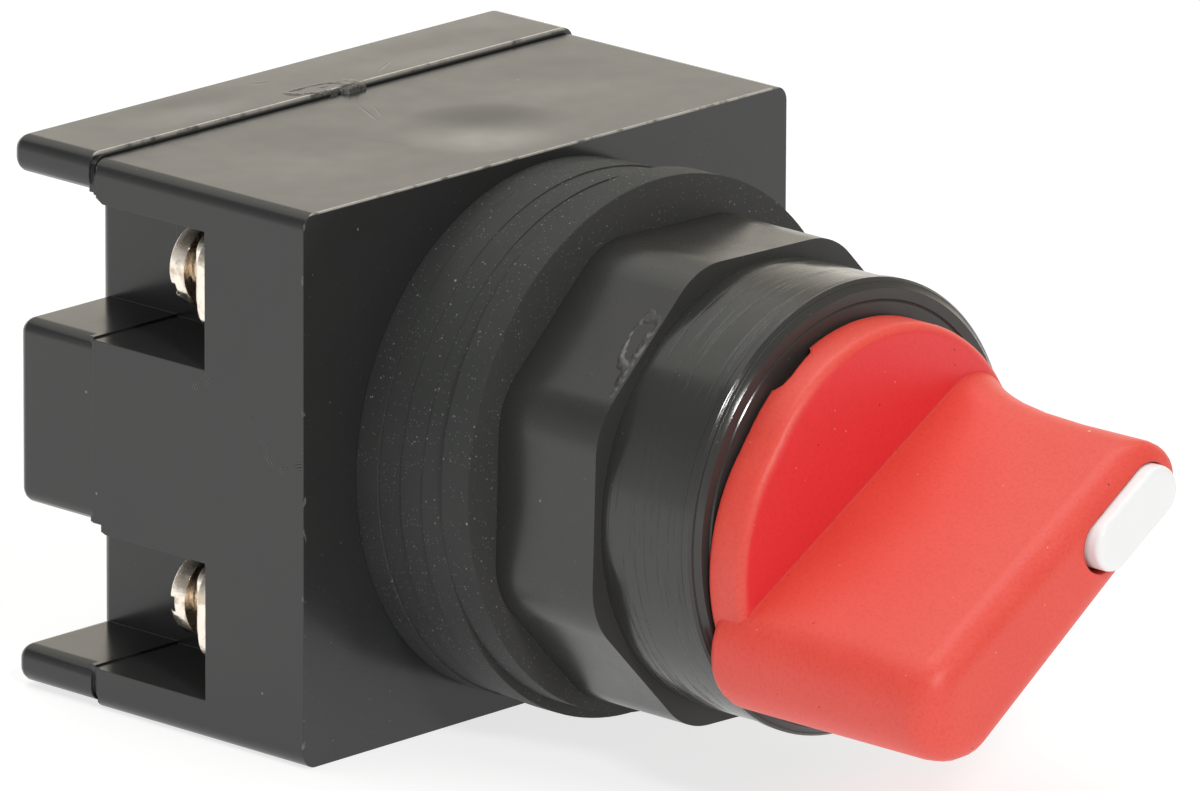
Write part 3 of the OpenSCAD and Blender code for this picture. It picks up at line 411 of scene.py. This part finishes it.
# %% [markdown]
# ## Red ABS, moulded with a spark-eroded grain
# The knob is matt. A spark-eroded mould leaves a grain of about a quarter of a millimetre that
# breaks up every reflection. The skirt and the wing are painted a paler red, as painted light
# where the light falls on them, and the flats between them are painted a deeper red, as painted
# shade. Pale and dark specks are dust and unmixed colour.

# %% Red ABS
flat_y = -24.15
red_specks = ((1.1, 0.09, 0.3, "#f0a090"), (3.3, 0.2, 0.25, "#f5c4b8"), (1.7, 0.13, 0.22, "#a81419"))


def red_abs(name):
    cloud_size, mottle_size, grain_size = 6.0, 0.28, 0.25
    mottle_share, grain_height, edge_radius = 0.33, 0.02, 0.25
    material, tree, shader, where = start_material(name, IOR=1.53)
    clouds = add(tree, NOISE, {"Vector": where, "Scale": 1 / cloud_size})
    # Painted light: a paler red for the skirt and the wing, where the light falls on them
    lit_red = add(tree, MIX, {0: clouds, 6: srgb("#e8493c"), 7: srgb("#ee5546")}, out=2, **COLOUR)
    # The two flats look at the user and end behind the wing's front. There the knob gets a deeper red as
    # painted shade
    front = faces_user(tree, 0.85, 0.98, **SMOOTH)
    depth = add(tree, SPLIT, {0: where}, out="Y")
    flats = add(tree, RANGE, {0: depth, 1: flat_y - 2.5, 2: flat_y - 1.0, 4: front})
    # The flats' deeper red is painted shade
    colour = add(tree, MIX, {0: flats, 6: lit_red, 7: srgb("#ea373c")}, out=2, **COLOUR)
    fine = add(tree, NOISE, {"Vector": where, "Scale": 1 / mottle_size, "Detail": 2.0})
    mottle = add(tree, RANGE, {0: fine, 1: 0.45, 2: 0.75, 4: mottle_share})
    colour = add(tree, MIX, {0: mottle, 6: colour, 7: srgb("#d43030")}, out=2, **COLOUR)
    colour = dusted(tree, where, colour, red_specks)
    rough = add(tree, RANGE, {0: clouds, 3: 0.4, 4: 0.5})
    edge = add(tree, BEVEL, {"Radius": edge_radius * MM}, samples=4)
    grain = add(tree, NOISE, {"Vector": where, "Scale": 1 / grain_size, "Detail": 3.0})
    normal = add(tree, BUMP, {"Height": grain, "Distance": grain_height * MM, "Normal": edge})
    return finish_material(material, shader, colour, normal, rough)


finishes["red_knob"] = red_abs("red_abs_grained")

# %% [markdown]
# ## White ABS, moulded smooth
# The pointer insert is a small smooth bar, whiter and glossier than the knob. Its colour stays
# just under full white so that its rounded edges still show.

# %% White ABS
def white_abs(name):
    cloud_size, wave_size, wave_height, edge_radius = 4.0, 1.5, 0.01, 0.15
    material, tree, shader, where = start_material(name, Roughness=0.3, IOR=1.5)
    clouds = add(tree, NOISE, {"Vector": where, "Scale": 1 / cloud_size})
    colour = add(tree, MIX, {0: clouds, 6: srgb("#fafbfc"), 7: srgb("#f3f5f6")}, out=2, **COLOUR)
    wave = add(tree, NOISE, {"Vector": where, "Scale": 1 / wave_size})
    edge = add(tree, BEVEL, {"Radius": edge_radius * MM}, samples=4)
    normal = add(tree, BUMP, {"Height": wave, "Distance": wave_height * MM, "Normal": edge})
    return finish_material(material, shader, colour, normal)


finishes["white_insert"] = white_abs("white_abs_smooth")

# %% [markdown]
# ## Metals
# The terminals are nickel on steel: warm, bright, and mottled from handling and from the
# plating bath. Inside there are turned brass, zinc-plated steel and silver contacts. A metal's
# colour sits in its base colour, so each one differs by that, by roughness and by its scratches.

# %% Plated and turned metals
def worn_metal(name, bright, dull, roughness, scratch_size):
    stain_size, stain_depth, scratch_depth, edge_radius = 1.2, 0.01, 0.008, 0.12
    stained, clean = roughness + 0.1, roughness - 0.05
    stretch = 0.15
    material, tree, shader, where = start_material(name, Metallic=1.0)
    clouds = add(tree, NOISE, {"Vector": where, "Scale": 1 / stain_size, "Detail": 6.0})
    stain = add(tree, RANGE, {0: clouds, 1: 0.36, 2: 0.54}, **SMOOTH)
    colour = add(tree, MIX, {0: stain, 6: srgb(dull), 7: srgb(bright)}, out=2, **COLOUR)
    rough = add(tree, RANGE, {0: stain, 3: stained, 4: clean})
    along = add(tree, VECTOR, {0: where, 1: (1.0, stretch, 1.0)}, operation="MULTIPLY")
    lines = add(tree, NOISE, {"Vector": along, "Scale": 1 / scratch_size, "Detail": 3.0})
    edge = add(tree, BEVEL, {"Radius": edge_radius * MM}, samples=4)
    pitted = add(tree, BUMP, {"Height": stain, "Distance": stain_depth * MM, "Normal": edge})
    normal = add(tree, BUMP, {"Height": lines, "Distance": scratch_depth * MM, "Normal": pitted})
    return finish_material(material, shader, colour, normal, rough)


finishes["nickel"] = worn_metal("nickel_plated_steel", "#fdf3e6", "#d3c6b4", 0.2, 0.2)
finishes["brass"] = worn_metal("turned_brass", "#d9b76a", "#b98f45", 0.28, 0.15)
finishes["steel"] = worn_metal("zinc_plated_steel", "#c3c4c3", "#9fa09e", 0.3, 0.2)
finishes["silver"] = worn_metal("contact_silver", "#efefec", "#cfcfca", 0.25, 0.2)

# %% [markdown]
# ## Acetal and laminated board
# The shaft and its cam are acetal, which is waxy and ivory. The guide plate and the plungers are
# brown laminate, cut from sheet. They are inside, so a faint cloud and a fine grain do.

# %% Inner plastics
def plain_plastic(name, light, dark, roughness, cloud_size):
    grain_size, grain_height, edge_radius = 0.3, 0.006, 0.08
    material, tree, shader, where = start_material(name, Roughness=roughness)
    clouds = add(tree, NOISE, {"Vector": where, "Scale": 1 / cloud_size})
    colour = add(tree, MIX, {0: clouds, 6: srgb(dark), 7: srgb(light)}, out=2, **COLOUR)
    grain = add(tree, NOISE, {"Vector": where, "Scale": 1 / grain_size})
    edge = add(tree, BEVEL, {"Radius": edge_radius * MM}, samples=4)
    normal = add(tree, BUMP, {"Height": grain, "Distance": grain_height * MM, "Normal": edge})
    return finish_material(material, shader, colour, normal)


finishes["ivory_moulding"] = plain_plastic("ivory_acetal", "#e2d9bf", "#d6cbae", 0.4, 5.0)
finishes["tan_moulding"] = plain_plastic("brown_laminate", "#8d5c30", "#744622", 0.5, 0.8)

# %% [markdown]
# ## Give each solid its finish
# The record names the finish of each solid, and the table that was filled above turns that name
# into a material. The nut gets its own kind of the block's nylon.

# %% Give each solid its material
slot_of = {part["node"]: part["material_slot"] for part in frame["record"]["subparts"]}
for name, solid in nodes.items():
    solid.data.materials.clear()
    solid.data.materials.append(nut_finish if name == "clamping_nut" else finishes[slot_of[name]])
print("finishes:", len(finishes) + 1)

# %% [markdown]
# ## Smooth shading by angle
# Solids arrive as small flat faces. Where two meet at a shallow angle, they stand for one curved
# surface and are shaded as one. A geometry-nodes modifier joins the doubled points of the
# faces' borders and marks only the sharper edges, and leaves the solid itself alone. A second
# modifier lets the large flat faces win at their borders, so that they reflect as flat.

# %% Smooth shading
sharp_from = 33
join_within = 0.002


def shade_by_angle(limit):
    group = bpy.data.node_groups.new("shade_by_angle", "GeometryNodeTree")
    group.interface.new_socket("Geometry", in_out="INPUT", socket_type="NodeSocketGeometry")
    group.interface.new_socket("Geometry", in_out="OUTPUT", socket_type="NodeSocketGeometry")
    source = add(group, "NodeGroupInput", {})
    plain = add(group, "GeometryNodeRemoveAttribute", {"Geometry": source, "Name": "custom_normal"})
    joined = add(group, "GeometryNodeMergeByDistance", {"Geometry": plain, "Distance": join_within * MM})
    smooth = add(group, "GeometryNodeSetShadeSmooth", {"Geometry": joined}, domain="FACE")
    angle = add(group, "GeometryNodeInputMeshEdgeAngle", {})
    sharp = add(group, "FunctionNodeCompare", {0: angle, 1: math.radians(limit)}, operation="GREATER_THAN")
    edges = add(group, "GeometryNodeSetShadeSmooth",
                {"Geometry": smooth, "Selection": sharp, "Shade Smooth": False}, domain="EDGE")
    add(group, "NodeGroupOutput", {0: edges})
    return group


shading = shade_by_angle(sharp_from)
for name, solid in nodes.items():
    solid.modifiers.new("shading", "NODES").node_group = shading
    weighted = solid.modifiers.new("flat_faces", "WEIGHTED_NORMAL")
    weighted.mode, weighted.weight, weighted.keep_sharp = "FACE_AREA", 100, True
print("edges stay sharp from", sharp_from, "degrees")

# %% [markdown]
# ## Gate scars
# Where the melt entered a mould, breaking off the runner leaves a torn patch. One sits on the
# cover by the seam and one on the nut, where it runs out along the front edge of a flat. Each
# is a sheet of points laid on the solid by casting rays at it. Most of the sheet lies just
# under the skin, and only its ragged rim and ridges rise out of it, so no outline shows.

# %% Torn patches
sheet_step = 0.1
sheet_sink = 0.04
sheet_depth = 0.5
bridge_dip = 0.1
ray_height = 4.0


def surface_of(*names):
    """Search trees of some solids' surfaces, for casting rays at them."""
    trees = []
    for name in names:
        mesh = nodes[name].data
        trees.append(BVHTree.FromPolygons([v.co for v in mesh.vertices], [p.vertices for p in mesh.polygons]))
    return trees


def closed_sheet(name, top_points, floor_points, nu, nv):
    """A mesh of two grids of points, joined round their rims, as an object in the scene."""
    faces = [(k, k + nv + 1, k + nv + 2, k + 1)
             for k in (i * (nv + 1) + j for i in range(nu) for j in range(nv))]
    below = len(top_points)
    faces += [tuple(below + k for k in reversed(f)) for f in faces]
    rim = ([i * (nv + 1) for i in range(nu)] + [nu * (nv + 1) + j for j in range(nv)]
           + [i * (nv + 1) + nv for i in range(nu, 0, -1)] + list(range(nv, 0, -1)))
    for a, b in zip(rim, rim[1:] + rim[:1]):
        faces.append((a, below + a, below + b, b))
    mesh = bpy.data.meshes.new(name)
    mesh.from_pydata(top_points + floor_points, [], faces)
    mesh.shade_smooth()
    piece = bpy.data.objects.new(name, mesh)
    bpy.context.scene.collection.objects.link(piece)
    print(name, "faces:", len(faces))
    return piece


def torn_patch(name, trees, centre, along, outward, length, width, rise, bridge=False):
    """A sheet of length by width millimetres on the solids; rise(u, v) is its height over them.

    With bridge it hangs over narrow gaps, and otherwise it dips under edges."""
    along, outward = Vector(along).normalized(), Vector(outward).normalized()
    across = outward.cross(along)
    nu, nv = int(length / sheet_step), int(width / sheet_step)
    grid, places = [(i, j) for i in range(nu + 1) for j in range(nv + 1)], {}
    for i, j in grid:
        u, v = (i / nu - 0.5) * length, (j / nv - 0.5) * width
        start = (Vector(centre) + along * u + across * v + outward * ray_height) * MM
        casts = [t.ray_cast(start, -outward, 2 * ray_height * MM)[3] for t in trees]
        hits = [hit for hit in casts if hit]
        ground = ray_height - min(hits) / MM if hits else -sheet_depth
        places[i, j] = (start - outward * ray_height * MM, ground, rise(u, v))
    points, floor = [], []
    for i, j in grid:
        base, ground, height = places[i, j]
        lowest = min(places.get((i + a, j + b), places[i, j])[1] for a in (-1, 0, 1) for b in (-1, 0, 1))
        over_gap = height > 0 and bridge
        level = (max(ground, -bridge_dip) if over_gap else lowest) + height
        points.append(base + outward * level * MM)
        floor.append(base + outward * (min(ground, 0.0) - sheet_depth) * MM)
    return closed_sheet(name, points, floor, nu, nv)


# %% [markdown]
# ## The shapes of the two scars
# The block's scar is an oval rim about 7 mm long that leans back from the seam, with a lump in
# front of it and a frayed tail at each end. The nut's scar is a squarish rim on the flat and a
# broken streak down the flat's front edge, with a lump near its middle. Each is a sum of simple
# ridges, bent by a slow noise and made ragged by a fine one.

# %% The two scars' heights
block_scar_height, nut_scar_height = 0.14, 0.12
rim_at = 0.85


def crumbs(u, v, size, seed):
    """Rough torn texture, about from 0 to 1."""
    return min(1.0, abs(noise.fractal(Vector((u / size, v / size, seed)), 0.9, 2.1, 5)) * 1.6)


def ridge(distance, width):
    """A rounded ridge across a distance: 1 on it, 0 past its width."""
    return max(0.0, 1 - (distance / width) ** 2)


def block_rise(u, v):
    """u runs along the seam to the right and v to the rear."""
    wander = noise.noise(Vector((u * 0.6, v * 0.6, 3.0)))
    oval = math.hypot((u + 0.9 + 0.5 * wander) / 3.4, (v + 0.45 + 0.1 * u) / 1.1) + wander * 0.3
    rim = ridge(oval - rim_at, 0.3) * (0.35 + 0.5 * crumbs(u, v, 1.5, 5.0))
    inner = 0.5 * crumbs(u, v * 2.5, 2.2, 2.0) if oval < rim_at else 0.0
    lump = ridge(v + 1.7, 0.6) * ridge(u - 1.3, 1.3) * (0.5 + crumbs(u, v, 0.7, 9.0))
    tail = ridge(v - 2.0 + 0.45 * u + 0.6 * wander, 0.2) * ridge(u + 4.0, 2.2) * 0.5 * crumbs(u, v, 1.2, 1.0)
    spur = ridge(v - 0.9 - 0.3 * u + 0.5 * wander, 0.2) * ridge(u - 3.6, 1.8) * 0.5 * crumbs(u, v, 1.2, 4.0)
    return block_scar_height * max(rim, 1.6 * lump, inner, tail, spur) - sheet_sink


def nut_rise(u, v):
    """u runs down round the nut and v forward, from the flat's front edge."""
    wander = noise.noise(Vector((u * 0.7, v * 0.7, 6.0)))
    wide, high = abs(u + 0.4 + 0.4 * wander) / 2.7, abs(v + 1.15 + wander * 0.3) / 1.05
    square = (wide ** 3 + high ** 3) ** (1 / 3)
    rim = ridge(square - rim_at, 0.25) * (0.45 + 0.4 * crumbs(u, v, 1.8, 4.0))
    inner = 0.42 * crumbs(u * 0.6, v, 1.5, 2.0) if square < rim_at else 0.0
    streak = ridge(v + 0.55 + wander * 0.3, 0.4) * ridge(u - 1.4, 5.6) * (0.35 + 0.5 * crumbs(u, v, 1.2, 7.0))
    lump = ridge(v + 0.6, 0.5) * ridge(u - 2.9, 1.5) * (0.6 + 0.4 * crumbs(u, v, 1.0, 8.0))
    return nut_scar_height * max(rim, inner, streak, 1.3 * lump) - sheet_sink


# %% [markdown]
# ## Broken nylon
# Where nylon tears, it is paler and duller than its moulded skin, and crumbs of it catch the
# light. Both scars take it. The nut's scar is placed by the angle of its flat round the axis.

# %% Lay the scars on the solids
def torn_nylon(name):
    crumb_size, crumb_height, edge_radius = 0.8, 0.05, 0.1
    material, tree, shader, where = start_material(name, Roughness=0.3, IOR=1.53)
    crumb = add(tree, NOISE, {"Vector": where, "Scale": 1 / crumb_size, "Detail": 6.0})
    pale = add(tree, RANGE, {0: crumb, 1: 0.48, 2: 0.66}, **SMOOTH)
    colour = add(tree, MIX, {0: pale, 6: srgb("#343432"), 7: srgb("#62605b")}, out=2, **COLOUR)
    edge = add(tree, BEVEL, {"Radius": edge_radius * MM}, samples=4)
    normal = add(tree, BUMP, {"Height": crumb, "Distance": crumb_height * MM, "Normal": edge})
    return finish_material(material, shader, colour, normal)


torn = torn_nylon("torn_nylon")
block_scar_middle = (0.4, seam_y + 1.6, cover_half_h)
# The flat's front edge, its distance from the axis, and its angle round it from +X towards +Z
nut_front = -10.3
flat_reach = 18.5
flat_angle = math.radians(133.4)
flat_out = (math.cos(flat_angle), 0.0, math.sin(flat_angle))
flat_down = (-math.sin(flat_angle), 0.0, math.cos(flat_angle))
flat_middle = (flat_reach * flat_out[0], nut_front, flat_reach * flat_out[2])
scars = [
    torn_patch("gate_scar_block", surface_of("front_housing", "rear_cover"), block_scar_middle,
               along=(1, 0, 0), outward=(0, 0, 1), length=13.0, width=7.0, rise=block_rise, bridge=True),
    torn_patch("gate_scar_nut", surface_of("clamping_nut"), flat_middle,
               along=flat_down, outward=flat_out, length=14.0, width=6.4, rise=nut_rise),
]
for scar in scars:
    scar.data.materials.append(torn)
    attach(scar, "base")

# %% [markdown]
# ## The root of the wing
# A wing over a shaft has its socket inside, and where the wall would be too thin, a mould maker
# swells it. On the wing's lower side the socket comes through the wall, so a low swelling of the
# knob's own plastic covers it there. It is a flattened ball that is sunk into the wing.

# %% Swelling at the wing's root
# Out of the lower side of the wing, and along that side
wing_side = Vector((0.61, 0.0, -0.79)).normalized()
wing_run = Vector((0.79, 0.0, 0.61)).normalized()
swell_out, swell_y = 3.3, -25.0
swell_middle = wing_side * swell_out + Vector((0.0, swell_y, 0.0))
# Half sizes: out of that side, along it, and along the knob's axis
swell_half = (1.6, 2.8, 2.9)
rings, spokes = 16, 32


def swelling_point(lift, turn):
    """A point of the ball, by its angle from the rear pole and its angle round Y."""
    return (swell_middle + wing_side * (swell_half[0] * math.sin(lift) * math.cos(turn))
            + wing_run * (swell_half[1] * math.sin(lift) * math.sin(turn))
            + Vector((0, swell_half[2] * math.cos(lift), 0))) * MM


points = [swelling_point(math.pi * k / rings, 2 * math.pi * m / spokes)
          for k in range(1, rings) for m in range(spokes)]
rear_pole, front_pole = len(points), len(points) + 1
points += [swelling_point(0.0, 0.0), swelling_point(math.pi, 0.0)]
last_ring = (rings - 2) * spokes
faces = []
for k in range(rings - 2):
    ring, following = k * spokes, (k + 1) * spokes
    faces += [(ring + m, ring + (m + 1) % spokes, following + (m + 1) % spokes, following + m)
              for m in range(spokes)]
faces += [(rear_pole, (m + 1) % spokes, m) for m in range(spokes)]
faces += [(front_pole, last_ring + m, last_ring + (m + 1) % spokes) for m in range(spokes)]
swell_mesh = bpy.data.meshes.new("wing_root_swelling")
swell_mesh.from_pydata(points, [], faces)
swell_mesh.shade_smooth()
swell_mesh.materials.append(finishes["red_knob"])
swelling = bpy.data.objects.new("wing_root_swelling", swell_mesh)
bpy.context.scene.collection.objects.link(swelling)
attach(swelling, "operator")
print("wing root swelling faces:", len(faces))

# %% [markdown]
# ## Threads of the terminal screws
# A bare cylinder between a screw's head and its clamp looks wrong at once. A thread is a ridge
# of triangular section that climbs by its pitch each turn, so it is swept along a helix. Its
# foot is sunk into the screw, and it fades in and out over a quarter of a turn.

# %% Screw threads
screw_d = 3.5
head_h = 2.4
thread_pitch = 0.6
thread_depth = 0.3
thread_half_foot = 0.24
thread_sink, foot_sink = 0.06, 0.1
around, fade_steps = 32, 8


def thread(name, axis_x, axis_z, y_low, y_high, radius):
    """A helical ridge round an axis along Y, between two heights in millimetres."""
    steps = int((y_high - y_low - thread_pitch) / thread_pitch * around)
    points, faces = [], []
    for k in range(steps + 1):
        turn = 2 * math.pi * k / around
        y = y_low + thread_pitch / 2 + thread_pitch * k / around
        fade = min(1.0, k / fade_steps, (steps - k) / fade_steps)
        for out, along in ((-foot_sink, -thread_half_foot), (thread_depth * fade, 0.0),
                           (-foot_sink, thread_half_foot)):
            r = radius + out
            points.append(Vector((axis_x + r * math.cos(turn), y + along, axis_z + r * math.sin(turn))) * MM)
    for k in range(steps):
        a, b = 3 * k, 3 * k + 3
        faces += [(a, b, b + 1, a + 1), (a + 1, b + 1, b + 2, a + 2), (a + 2, b + 2, b, a)]
    faces += [(0, 1, 2), (3 * steps + 2, 3 * steps + 1, 3 * steps)]
    mesh = bpy.data.meshes.new(name)
    mesh.from_pydata(points, [], faces)
    piece = bpy.data.objects.new(name, mesh)
    bpy.context.scene.collection.objects.link(piece)
    print(name, "faces:", len(faces))
    return piece


for corner in ("upper_left", "upper_right", "lower_left", "lower_right"):
    low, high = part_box("terminal_screw_" + corner)
    clamp_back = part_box("clamp_" + corner)[1].y / MM
    middle = (low + high) / 2 / MM
    helix = thread("thread_" + corner, middle.x, middle.z, clamp_back, high.y / MM - head_h,
                   screw_d / 2 - thread_sink)
    helix.data.materials.append(finishes["nickel"])
    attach(helix, "base")

# %% [markdown]
# ## The camera
# A long lens from the front left, slightly above. The camera was fitted to the block's corners,
# so its place is given as an angle round the switch, an angle above it and a distance. It is
# rolled by a quarter of a degree, as a hand-held camera is.

# %% Camera
def direction_of(azimuth, elevation):
    """The way from the switch to a place round it: azimuth 0 is in front, 90 on the left."""
    a, e = math.radians(azimuth), math.radians(elevation)
    return Vector((-math.sin(a) * math.cos(e), -math.cos(a) * math.cos(e), math.sin(e)))


camera_azimuth, camera_elevation, camera_roll = 46.2, 16.35, 0.25
camera_centre = Vector((0.0, 12.4, 0.0)) * MM
camera_distance = 1.3293
# Where the middle of the picture falls, seen from the camera: to the right and up
aim_right, aim_up = 4.08 * MM, 2.25 * MM
lens = bpy.data.cameras.new("camera")
lens.lens = 511.0
lens.sensor_width = 36.0
lens.clip_start, lens.clip_end = 0.1, 20.0
camera = bpy.data.objects.new("camera", lens)
bpy.context.scene.collection.objects.link(camera)
back = direction_of(camera_azimuth, camera_elevation)
right = Vector((0, 0, 1)).cross(back).normalized()
up = back.cross(right)
camera.location = camera_centre + back * camera_distance
aim = camera_centre + right * aim_right + up * aim_up
facing = (aim - camera.location).to_track_quat("-Z", "Y")
camera.rotation_mode = "QUATERNION"
camera.rotation_quaternion = facing @ Quaternion((0, 0, 1), math.radians(camera_roll))
bpy.context.scene.camera = camera
print("camera in m:", [round(v, 3) for v in camera.location])

# %% [markdown]
# ## The table
# A white paper sweep. It keeps the switch's own soft shadow, and some light of its own keeps that
# shadow pale. To the camera and in reflections that light is stronger, which makes the
# background white without adding light to the switch.

# %% Table
table_reach = 6.0
paper_grey = 0.35
own_light, seen_light = 0.66, 0.08
floor_z = cad_box[0].z
corners = [(x * table_reach, y * table_reach, floor_z) for x, y in ((-1, -1), (1, -1), (1, 1), (-1, 1))]
floor_mesh = bpy.data.meshes.new("floor")
floor_mesh.from_pydata(corners, [], [(0, 1, 2, 3)])
floor = bpy.data.objects.new("floor", floor_mesh)
bpy.context.scene.collection.objects.link(floor)
paper = bpy.data.materials.new("white_paper_sweep")
paper.use_nodes = True
tree = paper.node_tree
tree.nodes.clear()
matt = add(tree, "ShaderNodeBsdfDiffuse", {"Color": (paper_grey, paper_grey, paper_grey, 1.0)})
seen = 0.0
for kind in ("Is Camera Ray", "Is Glossy Ray", "Is Transmission Ray"):
    ray = add(tree, "ShaderNodeLightPath", {}, out=kind)
    seen = add(tree, MATH, {0: seen, 1: ray}, operation="MAXIMUM")
glow = add(tree, MATH, {0: seen, 1: seen_light, 2: own_light}, operation="MULTIPLY_ADD")
lift = add(tree, "ShaderNodeEmission", {"Color": (1, 1, 1, 1), "Strength": glow})
lifted = add(tree, "ShaderNodeAddShader", {0: matt, 1: lift})
add(tree, "ShaderNodeOutputMaterial", {"Surface": lifted})
floor_mesh.materials.append(paper)
print("table at z in mm:", round(floor_z / MM, 2))

# %% [markdown]
# ## The room
# Black gloss shows its surroundings more than itself, so the room is laid out for it: a large
# soft panel overhead with a crisp border, a warm low backdrop behind on the right that lights
# up the top at a grazing look, and a dim side on the left that draws the rounded long edges as
# dark bands. All of it depends only on the direction into the room.

# %% Room
panel_centre = (0.1, 0.3, 0.95)
# Cosines of the angles from the panel's centre between which its border lies
panel_outer, panel_inner = 0.8, 0.82
panel_light, front_light, dim_light = 0.92, 0.45, 0.2
# The light low down and high up, on the right behind and on the left
backdrop_low, backdrop_high, left_low = 1.58, 0.62, 0.75
# The ranges below read how far a direction points up, to the right or to the rear, from -1 to 1
white_tint, warm_tint, panel_tint = (1.0, 1.0, 1.0, 1.0), (1.0, 0.935, 0.82, 1.0), (1.0, 0.99, 0.93, 1.0)
world = bpy.data.worlds.new("studio")
world.use_nodes = True
bpy.context.scene.world = world
tree = world.node_tree
tree.nodes.clear()
way = add(tree, "ShaderNodeTexCoord", {}, out="Generated")
across, deep, high = (add(tree, SPLIT, {0: way}, out=axis) for axis in ("X", "Y", "Z"))
to_panel = add(tree, VECTOR, {0: way, 1: panel_centre}, out="Value", operation="DOT_PRODUCT")
overhead = add(tree, RANGE, {0: to_panel, 1: panel_outer, 2: panel_inner}, **SMOOTH)
backdrop = add(tree, RANGE, {0: high, 1: 0.08, 2: 0.5, 3: backdrop_low, 4: backdrop_high})
left_side = add(tree, RANGE, {0: high, 1: -0.03, 2: 0.46, 3: left_low, 4: dim_light})
to_right = add(tree, RANGE, {0: across, 1: -0.25, 2: 0.35}, **SMOOTH)
to_rear = add(tree, RANGE, {0: deep, 1: -0.3, 2: 0.3}, **SMOOTH)
right_side = add(tree, MIX, {0: to_rear, 2: front_light, 3: backdrop})
low = add(tree, MIX, {0: to_right, 2: left_side, 3: right_side})
strength = add(tree, MIX, {0: overhead, 2: low, 3: panel_light})
warmth = add(tree, MIX, {0: to_right, 6: white_tint, 7: warm_tint}, out=2, **COLOUR)
tint = add(tree, MIX, {0: overhead, 6: warmth, 7: panel_tint}, out=2, **COLOUR)
sky = add(tree, "ShaderNodeBackground", {"Color": tint, "Strength": strength})
add(tree, "ShaderNodeOutputWorld", {"Surface": sky})
print("room nodes:", len(tree.nodes))

# %% [markdown]
# ## Lamps
# A small key lamp in front on the left puts the bright spark on the nut's bead, and a large
# soft one overhead fills the shadows.

# %% Lamps
def softbox(name, azimuth, elevation, distance, size, watts):
    """A square lamp that looks at the switch."""
    lamp = bpy.data.lights.new(name, "AREA")
    lamp.energy, lamp.size = watts, size
    box = bpy.data.objects.new(name, lamp)
    bpy.context.scene.collection.objects.link(box)
    box.location = direction_of(azimuth, elevation) * distance
    box.rotation_mode = "QUATERNION"
    box.rotation_quaternion = (-box.location).to_track_quat("-Z", "Y")
    print(name, "watts:", watts)
    return box


softbox("key_softbox", azimuth=27, elevation=37, distance=1.2, size=0.16, watts=5.0)
softbox("top_softbox", azimuth=170, elevation=78, distance=1.2, size=0.9, watts=4.5)
bpy.context.scene.view_settings.view_transform = "Standard"
